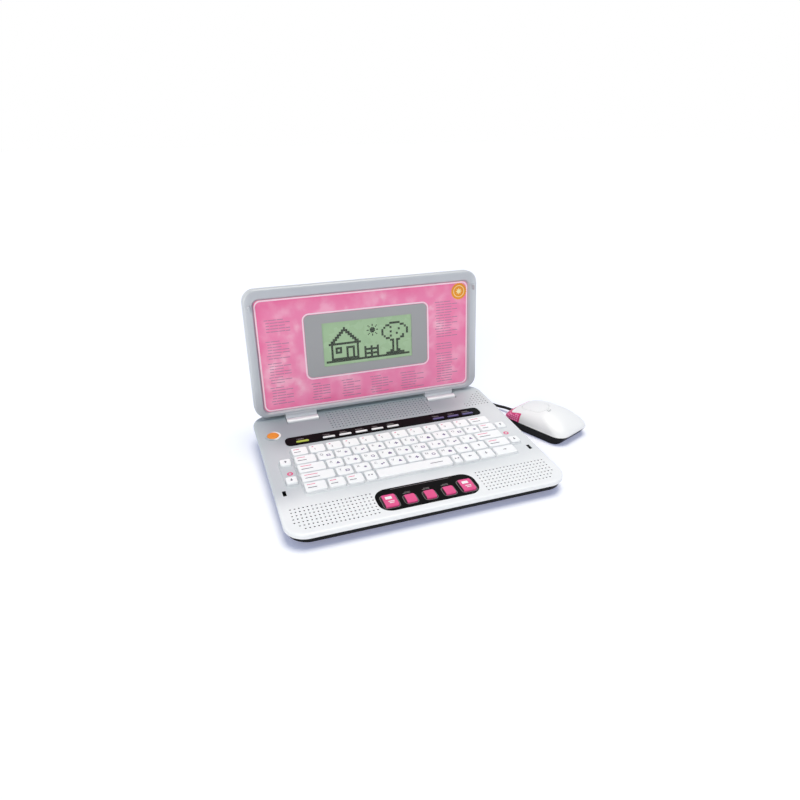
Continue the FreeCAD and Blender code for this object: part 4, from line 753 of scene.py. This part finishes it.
def print_keys():
    inks = {"dark": printed("dark_print", rgb(66, 62, 88)),
            "violet": printed("violet_print", rgb(112, 96, 140)),
            "pink": printed("pink_print", rgb(222, 62, 124))}
    for name in KEYS:
        marks = {film: [] for film in inks}
        tops = caps_of(name)
        for index, (x, y, width, depth, _) in enumerate(tops):
            left, back = x - width / 2, y + depth / 2
            character = LETTERS.get(name, "")[index:index + 1]
            if name in ARROWS:
                marks["dark"] += placed([ARROW], x, y, ARROW_SIZE, ARROWS[name][index])
            elif character:
                right, behind = NUMBER_PLACE if name == "number_keys" else LETTER_PLACE
                marks["dark"] += placed(letter_outlines(character), left + right, y + behind, LETTER_HEIGHT)
                if name == "number_keys":
                    marks["pink"].append(bar(left + DASH_LEFT, back + DASH_BACK, DASH_WIDTH, DASH_DEPTH))
                else:
                    picture = PICTURES[(index * PICTURE_STEP + len(name)) % len(PICTURES)]
                    marks["violet"] += placed(picture, x + width * PICTURE_RIGHT, y + PICTURE_BACK,
                                              PICTURE_SIZE)
            elif width > SPACE_BAR_LEAST_WIDTH:
                marks["dark"].append(bar(x + width * SPACE_LINE_RIGHT, y + SPACE_LINE_BACK,
                                         SPACE_LINE_WIDTH, KEY_LINE_THICKNESS))
            elif width > WIDE_CAP_LEAST_WIDTH:
                marks["pink"].append(bar(left + width * PINK_LINE_LEFT, back + PINK_LINE_BACK,
                                         width * PINK_LINE_WIDTH, KEY_LINE_THICKNESS))
                marks["dark"].append(bar(left + width * DARK_LINE_LEFT, y + DARK_LINE_BACK,
                                         width * DARK_LINE_WIDTH, DARK_LINE_THICKNESS))
            else:
                marks["dark"] += [circle(x + way * DOT_SIDEWAYS, y, DOT_RADIUS, DOT_SIDES) for way in (-1, 1)]
        *_, height = tops[0]
        for film, outlines in marks.items():
            if outlines:
                ink(f"{name}_{film}", DECK, outlines, height + PRINT_LIFT, inks[film], name)
    rings = []
    for x, y in SIDE_RING_PLACES:
        rings += band(circle(x, y, SIDE_RING_OUTSIDE), circle(x, y, SIDE_RING_INSIDE))
    ink("side_rings", DECK, rings, SURROUND_TOP + PRINT_LIFT, inks["pink"], "base")


print_keys()

# The lid: a frame and a back cover of silver plastic, screwed together round a printed card, a grey
# window and the liquid crystal panel. Two knuckles of the frame turn on steel pins in the deck. The silver
# is painted with light and shade: darker towards the hinge, with highlights on the side rims and lighter
# knuckles that are darker at their foot.
HINGE_PLACE = (0, 91.61 * MM, 22.48 * MM)
LID_LEAN = math.radians(84.8)
LID = Matrix.Translation(HINGE_PLACE) @ Matrix.Rotation(LID_LEAN, 4, "X")
LID_RIGHT, LID_TOP, _, LID_HINGE = (column.to_3d() for column in LID.col)
# Plain silver high on the lid, painted shade low on it, a painted highlight for the rims, painted light on
# the knuckles.
SHADED_LOW_SILVERS = (rgb(178, 181, 188), rgb(190, 193, 199))
HIGH_SILVERS = (rgb(186, 189, 196), rgb(200, 203, 208))
RIM_HIGHLIGHT = rgb(222, 225, 229)
TAB_LIGHT_AND_SHADE = (rgb(166, 172, 178), rgb(228, 232, 236))
# Where each tint of painted light begins and is full, in metres up from the hinge, or across from the
# middle for the rim's highlight.
LID_SHADE_BLEND = (0.0, 0.15)
RIM_HIGHLIGHT_BLEND = (0.130, 0.142)
RIM_HIGHLIGHT_RISE = (0.015, 0.060)
RIM_HIGHLIGHT_SHARE = 0.7
TAB_SHADE_BLEND = (0.002, 0.006)
TAB_LIGHT_END = (0.005, 0.010)


def lid_finish():
    material, point = new_finish("lid_silver", {"Metallic": 0.1, "Coat Weight": 0.1, "Coat Roughness": 0.25})
    flake = noise(point, FLAKE_SCALE)
    cloud = noise(point, scale=18.0, detail=3.0)
    upward = measure(point, LID_HINGE, LID_TOP)
    # Painted shade low on the lid, growing towards the hinge.
    low = blend_colours(cloud, *SHADED_LOW_SILVERS)
    high = blend_colours(cloud, *HIGH_SILVERS)
    base = blend_colours(smooth_step(upward, *LID_SHADE_BLEND), low, high)
    # A painted highlight on the side rims, fading towards the hinge.
    rim_highlight = smooth_step(abs(measure(point, LID_HINGE, LID_RIGHT)), *RIM_HIGHLIGHT_BLEND)
    rim_highlight = rim_highlight * smooth_step(upward, *RIM_HIGHLIGHT_RISE)
    base = blend_colours(rim_highlight * RIM_HIGHLIGHT_SHARE, base, RIM_HIGHLIGHT)
    # Painted light on the knuckles, with painted shade at their foot.
    tab_light = blend_colours(smooth_step(upward, *TAB_SHADE_BLEND), *TAB_LIGHT_AND_SHADE)
    base = blend_colours(smooth_step(upward, *TAB_LIGHT_END), tab_light, base)
    with_flakes(flake, base, dull=rgb(232, 232, 234), share=0.6).feed("Base Color")
    break_gloss(flake, least=0.32, spread=0.15)
    raise_grain(flake, strength=0.08)
    return material


dress(lid_finish(), "lid_front_frame", "lid_back_cover")

# The printed card round the window: stiff card laid in the lid's frame, pink with pale clouds and a
# deeper edge, with two pale border lines and columns of fine grey lines printed on it.
CARD_MIDDLE = 80.4
CARD_HALF_WIDTH = 129.3
CARD_HALF_HEIGHT = 65.6
CARD_TOP = -9.3
WINDOW_MIDDLE = 86.5
WINDOW_SIZE = (150.4, 74.8)
# A border line: the room that its outer and its inner edge add to the card or window, and their corners.
CARD_BORDER = ((-0.8, 7.5), (-4.0, 6.0))
WINDOW_BORDER = ((4.0, 8.0), (0.8, 6.4))
CARD_PINKS = (rgb(243, 136, 178), rgb(248, 168, 198))
CLOUD_PINK = rgb(254, 212, 226)
LOW_PINK = rgb(255, 146, 190)
EDGE_PINK = rgb(242, 112, 162)
# Where the card's tints begin and are full: metres from the edge, levels of noise, metres up.
EDGE_BLEND = (-0.006, 0.016)
EDGE_DRIFT = 0.03
MOTTLE_BLEND = (0.42, 0.68)
CLOUD_BLEND = (0.58, 0.78)
LOW_BLEND = (0.015, 0.070)
LOW_SHARE = 0.4
TEXT_PITCH = 3.3
TEXT_THICKNESS = 0.85
TEXT_INDENT = 1.5
TEXT_BLOCK_GAP = 0.8 * TEXT_PITCH
TEXT_HEADING_EVERY = 5
WORDS_IN_LINE = 4
WORD_LEAST = 4.0
WORD_GAP = 0.7
WORD_LENGTHS = 7
# The shortest line as a share of its column, the step to the next longer one, and how many lengths.
LINE_LEAST, LINE_STEP, LINE_LENGTHS = 0.72, 0.07, 5
# Columns of lines: left end, top, width and the number of lines of each block.
TEXT_COLUMNS = [
    (-119.5, 122.5, 36.0, (5,)), (-120.0, 98.0, 32.0, (7, 8, 7)), (86.0, 123.0, 33.0, (14,)),
    (86.5, 71.0, 30.0, (3, 12)), (-72.0, 41.5, 28.0, (7,)), (-35.6, 41.0, 27.0, (7,)),
    (0.0, 40.5, 29.0, (7,)), (39.0, 40.0, 33.0, (7,)),
]


def card_finish():
    material, point = new_finish("printed_card", {"Specular IOR Level": 0.3})
    across = abs(measure(point, LID_HINGE, LID_RIGHT))
    upward = measure(point, LID_HINGE, LID_TOP)
    to_end = CARD_HALF_HEIGHT * MM - abs(upward - CARD_MIDDLE * MM)
    to_edge = point.math("MINIMUM", CARD_HALF_WIDTH * MM - across, to_end)
    drift = (noise(point, scale=40.0, detail=3.0) - 0.5) * EDGE_DRIFT
    inside = smooth_step(to_edge + drift, *EDGE_BLEND)
    mottle = smooth_step(noise(point, scale=52.0, detail=6.0), *MOTTLE_BLEND)
    cloud = smooth_step(noise(point, scale=33.0, detail=6.0), *CLOUD_BLEND)
    pink = blend_colours(mottle, *CARD_PINKS)
    pink = blend_colours(cloud, pink, CLOUD_PINK)
    low = 1.0 - smooth_step(upward, *LOW_BLEND)
    pink = blend_colours(low * LOW_SHARE, pink, LOW_PINK)
    blend_colours(inside, EDGE_PINK, pink).feed("Base Color")
    break_gloss(noise(point, scale=700.0), least=0.4, spread=0.15)
    return material


def text_lines():
    """Short dashes in lines with a ragged right end, in blocks below each other.

    The steps of 3, 7 and 5 only mix the lengths of neighbouring lines and dashes."""
    words = []
    for left, y, width, blocks in TEXT_COLUMNS:
        for count in blocks:
            for row in range(count):
                x = left if row % TEXT_HEADING_EVERY == 0 else left + TEXT_INDENT
                end = left + width * (LINE_LEAST + LINE_STEP * ((row * 3) % LINE_LENGTHS))
                for word in range(WORDS_IN_LINE):
                    length = WORD_LEAST + (row * 7 + word * 5 + int(abs(left))) % WORD_LENGTHS
                    if x + length > end:
                        break
                    words.append(bar(x + length / 2, y, length, TEXT_THICKNESS))
                    x += length + WORD_GAP
                y -= TEXT_PITCH
            y -= TEXT_BLOCK_GAP
    return words


def print_card():
    dress(card_finish(), "screen_inlay")
    border = printed("pale_pink_print", rgb(255, 222, 234), uneven=0.03)
    lines = framed(0, CARD_MIDDLE, 2 * CARD_HALF_WIDTH, 2 * CARD_HALF_HEIGHT, CARD_BORDER)
    lines += framed(0, WINDOW_MIDDLE, *WINDOW_SIZE, WINDOW_BORDER)
    ink("card_borders", LID, lines, CARD_TOP + PRINT_LIFT, border, "lid")
    grey = printed("grey_print", rgb(184, 128, 156))
    ink("card_lines", LID, text_lines(), CARD_TOP + PRINT_LIFT, grey, "lid")


print_card()

# The sun badge in the card's upper right corner: printed in two passes of ink, first an orange disc with
# a scalloped edge, then a pale ring and a small sun on it.
BADGE_PLACE = (117.5, 134.0)
BADGE_RADIUS = 10.4
BADGE_POINTS = 24
BADGE_DIP = 0.92
BADGE_RING_OUTSIDE, BADGE_RING_INSIDE, BADGE_RING_SIDES = 7.2, 6.4, 32
BADGE_SUN_RADIUS, BADGE_SUN_POINTS, BADGE_SUN_DIP = 4.2, 8, 0.5
DISC_LIFT = 2.5 * PRINT_LIFT
SUN_LIFT = 4 * PRINT_LIFT


def print_badge():
    x, y = BADGE_PLACE
    rim = []
    for step in range(2 * BADGE_POINTS):
        radius = BADGE_RADIUS * (1.0 if step % 2 else BADGE_DIP)
        angle = math.pi * step / BADGE_POINTS
        rim.append((x + radius * math.cos(angle), y + radius * math.sin(angle)))
    orange = printed("orange_print", rgb(236, 150, 26), uneven=0.15)
    ink("badge_disc", LID, [rim], CARD_TOP + DISC_LIFT, orange, "lid")
    cream = printed("cream_print", rgb(252, 226, 168), uneven=0.06)
    marks = band(circle(x, y, BADGE_RING_OUTSIDE, BADGE_RING_SIDES),
                 circle(x, y, BADGE_RING_INSIDE, BADGE_RING_SIDES))
    marks += placed([star(BADGE_SUN_POINTS, BADGE_SUN_DIP)], x, y, BADGE_SUN_RADIUS)
    ink("badge_sun", LID, marks, CARD_TOP + SUN_LIFT, cream, "lid")


print_badge()

# The grey window and the liquid crystal panel behind it, both held in the lid's frame: a plain sheet of
# grey plastic, and green glass with a grid of square cells that shows a house, a fence, a tree and the
# sun as dark cells.
LCD_FRONT = -10.1
LCD_CELL = 1.3
LCD_CELL_FILL = 0.94
LCD_MIDDLE = 86.0
LCD_COLUMNS, LCD_ROWS = 84, 40
LCD_GREENS = (rgb(164, 194, 154), rgb(174, 202, 163))
LCD_GRID_GREEN = rgb(140, 168, 132)
LCD_GRID_WIDTH = 0.14
LCD_GRID_SHARE = 0.35
HOUSE = ["........#........", ".......###.......", "......##.##......", ".....##...##.....",
         "....##.....##....", "...##.......##...", "..##.........##..", ".###############.",
         "..#...........#..", "..#.###..####.#..", "..#.#.#..#..#.#..", "..#.###..#..#.#..",
         "..#......#..#.#..", "..#......#..#.#..", "..#############.."]
TREE = ["....#####....", "..##.....##..", ".#..#......#.", "#.......#...#", "#...#.......#",
        "#......#....#", ".#..#.....#..", "..##.....##..", "....##.##....", ".....#.#.....",
        ".....#.#.....", ".....#.#.....", ".....#.#.....", "....##.##....", "..#########.."]
SUN = [".....#.....", ".#...#...#.", "..#.....#..", "....###....", "...#####...", "##.#####.##",
       "...#####...", "....###....", "..#.....#..", ".#...#...#.", ".....#....."]
FENCE = ["#..#..#", "#######", "#..#..#", "#######", "#..#..#"]
# Each picture with the size of its dots in cells, its left column and its top row on the panel.
LCD_PICTURES = [(HOUSE, 2, 3, 5), (FENCE, 2, 38, 25), (TREE, 2, 55, 5), (SUN, 1, 41, 5)]
LCD_GROUND_COLUMNS = range(2, 82)
LCD_GROUND_ROWS = (35, 36)


def display_finish():
    material, point = new_finish("display_green", {"Specular IOR Level": 0.4})
    across = measure(point, LID_HINGE, LID_RIGHT) / (LCD_CELL * MM)
    upward = measure(point, LID_HINGE, LID_TOP) / (LCD_CELL * MM)
    across_lines, upward_lines = (way.math("FRACT", way) < LCD_GRID_WIDTH for way in (across, upward))
    grid = point.math("MINIMUM", across_lines + upward_lines, 1.0)
    cloud = noise(point, scale=60.0, detail=3.0)
    glass = blend_colours(cloud, *LCD_GREENS)
    blend_colours(grid * LCD_GRID_SHARE, glass, LCD_GRID_GREEN).feed("Base Color")
    break_gloss(cloud, least=0.22, spread=0.1)
    return material


def show_picture():
    window_grey = moulded("window_grey", rgb(162, 162, 164), roughness=0.32, uneven=0.02, grain=0.04,
                          grain_scale=FINE_GRAIN)
    dress(window_grey, "screen_mask")
    dress(display_finish(), "lcd_panel")
    left = -LCD_COLUMNS / 2 * LCD_CELL
    top = LCD_MIDDLE + LCD_ROWS / 2 * LCD_CELL
    cells = [(column, row) for column in LCD_GROUND_COLUMNS for row in LCD_GROUND_ROWS]
    for rows, size, first_column, first_row in LCD_PICTURES:
        for row in range(size * len(rows)):
            marks = rows[row // size]
            cells += [(first_column + column, first_row + row) for column in range(size * len(marks))
                      if marks[column // size] == "#"]
    side = LCD_CELL * LCD_CELL_FILL
    squares = [bar(left + (column + 0.5) * LCD_CELL, top - (row + 0.5) * LCD_CELL, side, side)
               for column, row in cells]
    dark = printed("dark_cells", rgb(28, 34, 30), uneven=0.1)
    ink("lcd_cells", LID, squares, LCD_FRONT + PRINT_LIFT, dark, "lid")


show_picture()

# The mouse: a low shell of white moulded plastic over a black tub, with an oval push button let into it,
# a small grey mark printed behind the button, and a pink nose with grip studs on both sides.
MOUSE_MIDDLE = (0.1979, 0.0180, 0)
MOUSE_TURN = math.radians(23)
MOUSE_PLACE = Matrix.Translation(MOUSE_MIDDLE) @ Matrix.Rotation(MOUSE_TURN, 4, "Z")
dress(moulded("mouse_white", rgb(238, 238, 240), roughness=0.34, uneven=0.02, grain=0.06),
      "mouse_top", "mouse_button")
dress(moulded("nose_pink", rgb(214, 60, 122), roughness=0.34, uneven=0.1, grain=0.06), "mouse_nose")
# The studs' heights, places along the nose and sizes in millimetres; how far they stand in and out of
# it, the share of their foot that their top has, and how squarely the nose has to face sideways there.
STUD_ROWS = (11.7, 13.9, 16.1, 18.3)
STUD_COLUMNS = (40.0, 37.1, 34.2, 31.3, 28.4, 25.5, 22.6, 19.7)
STUD_WIDTH = 2.3
STUD_HEIGHT = 1.6
STUD_SEAT = 0.1
STUD_PROUD = 0.35
STUD_TOP = 0.8
STUD_LEAST_FACING = 0.3
MOUSE_MARK = [bar(-9.2, -7.6, 0.9, 3.6), bar(-7.4, -7.9, 0.9, 3.0), circle(-5.4, -8.2, 0.8, 10)]
CLEAR_OF_MOUSE = 60


def surface_finder(name):
    """Finds where a line in the mouse's own frame meets one of its solids, and which way it faces there."""
    solid = nodes[name].data
    tree = BVHTree.FromPolygons([MOUSE_PLACE.inverted() @ vertex.co for vertex in solid.vertices],
                                [tuple(face.vertices) for face in solid.polygons])

    def find(start, way):
        return tree.ray_cast(Vector(start) * MM, Vector(way))[:2]
    return find


def grip_studs():
    """Small flat-topped studs on the nose's two sides, seated a little below its surface."""
    find = surface_finder("mouse_nose")
    points, faces = [], []
    for side in (-1, 1):
        for y in STUD_COLUMNS:
            for z in STUD_ROWS:
                base, top = [], []
                for along, up in ((-1, -1), (1, -1), (1, 1), (-1, 1)):
                    start = (side * CLEAR_OF_MOUSE, y + along * STUD_WIDTH / 2, z + up * STUD_HEIGHT / 2)
                    place, normal = find(start, (-side, 0, 0))
                    if place is None or normal.x * side < STUD_LEAST_FACING:
                        break
                    base.append(place - normal * STUD_SEAT * MM)
                    top.append(place + normal * STUD_PROUD * MM)
                if len(top) < 4:
                    continue
                middle = sum(top, Vector()) / 4
                top = [middle + (corner - middle) * STUD_TOP for corner in top]
                first = len(points)
                points += [MOUSE_PLACE @ corner for corner in base + top]
                order = (0, 1, 2, 3) if side > 0 else (3, 2, 1, 0)
                faces.append([first + 4 + corner for corner in order])
                faces.append([first + corner for corner in reversed(order)])
                for index in range(4):
                    a, b = order[index], order[(index + 1) % 4]
                    faces.append([first + a, first + b, first + 4 + b, first + 4 + a])
    stud_pink = moulded("stud_pink", rgb(255, 150, 198), roughness=0.3, uneven=0.08, grain=0.06)
    add_piece("nose_studs", mesh_of("nose_studs", points, faces), stud_pink, "mouse")


def print_mouse_mark():
    """Two short bars and a dot behind the button, printed on the curve of the shell."""
    find = surface_finder("mouse_top")
    points, faces = [], []
    for outline in MOUSE_MARK:
        faces.append(range(len(points), len(points) + len(outline)))
        for x, y in outline:
            place, normal = find((x, y, CLEAR_OF_MOUSE), (0, 0, -1))
            points.append(MOUSE_PLACE @ (place + normal * PRINT_LIFT * MM))
    mark_grey = printed("mark_grey", rgb(150, 152, 158))
    add_piece("mouse_mark", mesh_of("mouse_mark", points, faces), mark_grey, "mouse")


grip_studs()
print_mouse_mark()

# The mouse's cord: one lead in soft black rubber from the base's rear to the mouse's nose, with the
# length that isn't needed wound into a flat coil behind the base and held by a tie.
CORD_DIAMETER = 3.5 * MM
COIL_TURNS = 3.5
COIL_CLIMB_TURNS = 0.5
COIL_RADIUS = 23.0 * MM
COIL_PITCH = CORD_DIAMETER + 1.1 * MM
COIL_CENTRE = Vector((36, 166, 1.85)) * MM
COIL_POINTS = 16
CASE_EXIT = 8.5 * MM
CASE_ROUTE = [(92.6, 133.6, 12), (86.4, 139.8, 10.2), (78.3, 143.1, 8), (64.5, 143.5, 4.4), (52, 143, 1.85)]
MOUSE_EXIT = 9.0 * MM
MOUSE_ROUTE = [(167, 86, 4), (159, 106, 2.6), (149.5, 127, 2), (134, 147, 2), (115, 164, 2), (92, 178, 2.4),
               (69, 187.5, 4.4), (52, 189, 6.45)]
BOOT_END = MOUSE_PLACE @ Vector((0, 52.0 * MM, 5.55 * MM))
MOUSE_WAY = (MOUSE_PLACE.to_3x3() @ Vector((0, 1, 0))).normalized()
CORD_CURVE_ORDER = 3
CORD_CURVE_STEPS = 8
TUBE_SIDES = 12
# The tie's two outlines across the cord: left, right, bottom, top and corner, in millimetres.
TIE_OUTSIDE = (11.65, 21.55, 0.01, 8.95, 2.1)
TIE_INSIDE = (12.15, 21.05, 0.09, 8.45, 1.6)
TIE_WIDTH = 5.0


def coil_point(turns):
    """A point of the coil after a number of turns: in on the lower layer, up, and out on the upper layer."""
    spiral_turns = (COIL_TURNS - COIL_CLIMB_TURNS) / 2
    inward = min(turns, spiral_turns)
    outward = max(0.0, turns - spiral_turns - COIL_CLIMB_TURNS)
    climb = min(1.0, max(0.0, (turns - spiral_turns) / COIL_CLIMB_TURNS))
    radius = COIL_RADIUS - COIL_PITCH * (inward - outward)
    lift = COIL_PITCH * climb * climb * (3 - 2 * climb)
    angle = -math.pi / 2 - 2 * math.pi * turns
    return COIL_CENTRE + Vector((radius * math.cos(angle), radius * math.sin(angle), lift))


def cord_line(controls):
    """Points along one smooth spline that these control points pull."""
    curve = bpy.data.curves.new("cord_line", "CURVE")
    curve.dimensions = "3D"
    spline = curve.splines.new("NURBS")
    spline.points.add(len(controls) - 1)
    for place, control in zip(spline.points, controls):
        place.co = (*control, 1.0)
    spline.order_u = CORD_CURVE_ORDER
    spline.use_endpoint_u = True
    spline.resolution_u = CORD_CURVE_STEPS
    line = put_in_scene("cord_line", curve)
    drawn = bpy.data.meshes.new_from_object(line)
    points = [vertex.co.copy() for vertex in drawn.vertices]
    bpy.data.objects.remove(line)
    bpy.data.meshes.remove(drawn)
    return points


def tube_mesh(name, points, radius):
    """A closed round tube along a row of points, turned as little as it can be from one to the next."""
    ways = [(after - before).normalized() for before, after in zip(points, points[1:])]
    ways = [ways[0]] + [(a + b).normalized() for a, b in zip(ways, ways[1:])] + [ways[-1]]
    side = ways[0].orthogonal().normalized()
    corners, faces = [], []
    for index, (point, way) in enumerate(zip(points, ways)):
        side = (side - way * side.dot(way)).normalized()
        other = way.cross(side)
        for step in range(TUBE_SIDES):
            angle = 2 * math.pi * step / TUBE_SIDES
            corners.append(point + (side * math.cos(angle) + other * math.sin(angle)) * radius)
        if index:
            first = (index - 1) * TUBE_SIDES
            second = first + TUBE_SIDES
            for step in range(TUBE_SIDES):
                turn = (step + 1) % TUBE_SIDES
                faces.append((first + step, first + turn, second + turn, second + step))
    faces.append(tuple(reversed(range(TUBE_SIDES))))
    faces.append(tuple(range(len(corners) - TUBE_SIDES, len(corners))))
    mesh = mesh_of(name, corners, faces)
    for face in mesh.polygons:
        face.use_smooth = len(face.vertices) == 4
    return mesh


def make_tie():
    """A flat band round the four lengths of cord at the coil's left side, closed on itself."""
    rings = []
    for left, right, bottom, top, corner in (TIE_OUTSIDE, TIE_INSIDE):
        outline = rounded((left + right) / 2, (bottom + top) / 2, right - left, top - bottom, corner)
        for end in (-1, 1):
            rings.append([Vector((x, COIL_CENTRE.y / MM + end * TIE_WIDTH / 2, z)) * MM for x, z in outline])
    outer_front, outer_back, inner_front, inner_back = rings
    sides = band(outer_front, outer_back) + band(outer_back, inner_back)
    sides += band(inner_back, inner_front) + band(inner_front, outer_front)
    mesh = mesh_of("cord_tie", [point for side in sides for point in side],
                   [range(4 * index, 4 * index + 4) for index in range(len(sides))])
    solid = welded(mesh)
    solid.to_mesh(mesh)
    solid.free()
    return add_piece("cord_tie", mesh, black_rubber, "base")


def make_cord():
    low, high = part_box("cord_grommet")
    grommet_end = Vector(((low[0] + high[0]) / 2, high[1], (low[2] + high[2]) / 2))
    coil = [coil_point(index / COIL_POINTS) for index in range(int(COIL_TURNS * COIL_POINTS) + 1)]
    entry = coil[0] + Vector((CORD_DIAMETER, 0, 0))
    leave = coil[-1] + Vector((CORD_DIAMETER, 0, 0))
    controls = [grommet_end, grommet_end + Vector((0, CASE_EXIT, 0))]
    controls += [Vector(point) * MM for point in CASE_ROUTE]
    controls += [entry] + coil + [leave]
    controls += [Vector(point) * MM for point in reversed(MOUSE_ROUTE)]
    controls += [BOOT_END + MOUSE_WAY * MOUSE_EXIT, BOOT_END]
    points = cord_line(controls)
    mesh = tube_mesh("mouse_cord", points, CORD_DIAMETER / 2)
    cord = add_piece("mouse_cord", mesh, black_rubber, None)
    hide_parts("cord_to_case", "cord_coil", "cord_to_mouse")
    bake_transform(cord)
    make_tie()


make_cord()
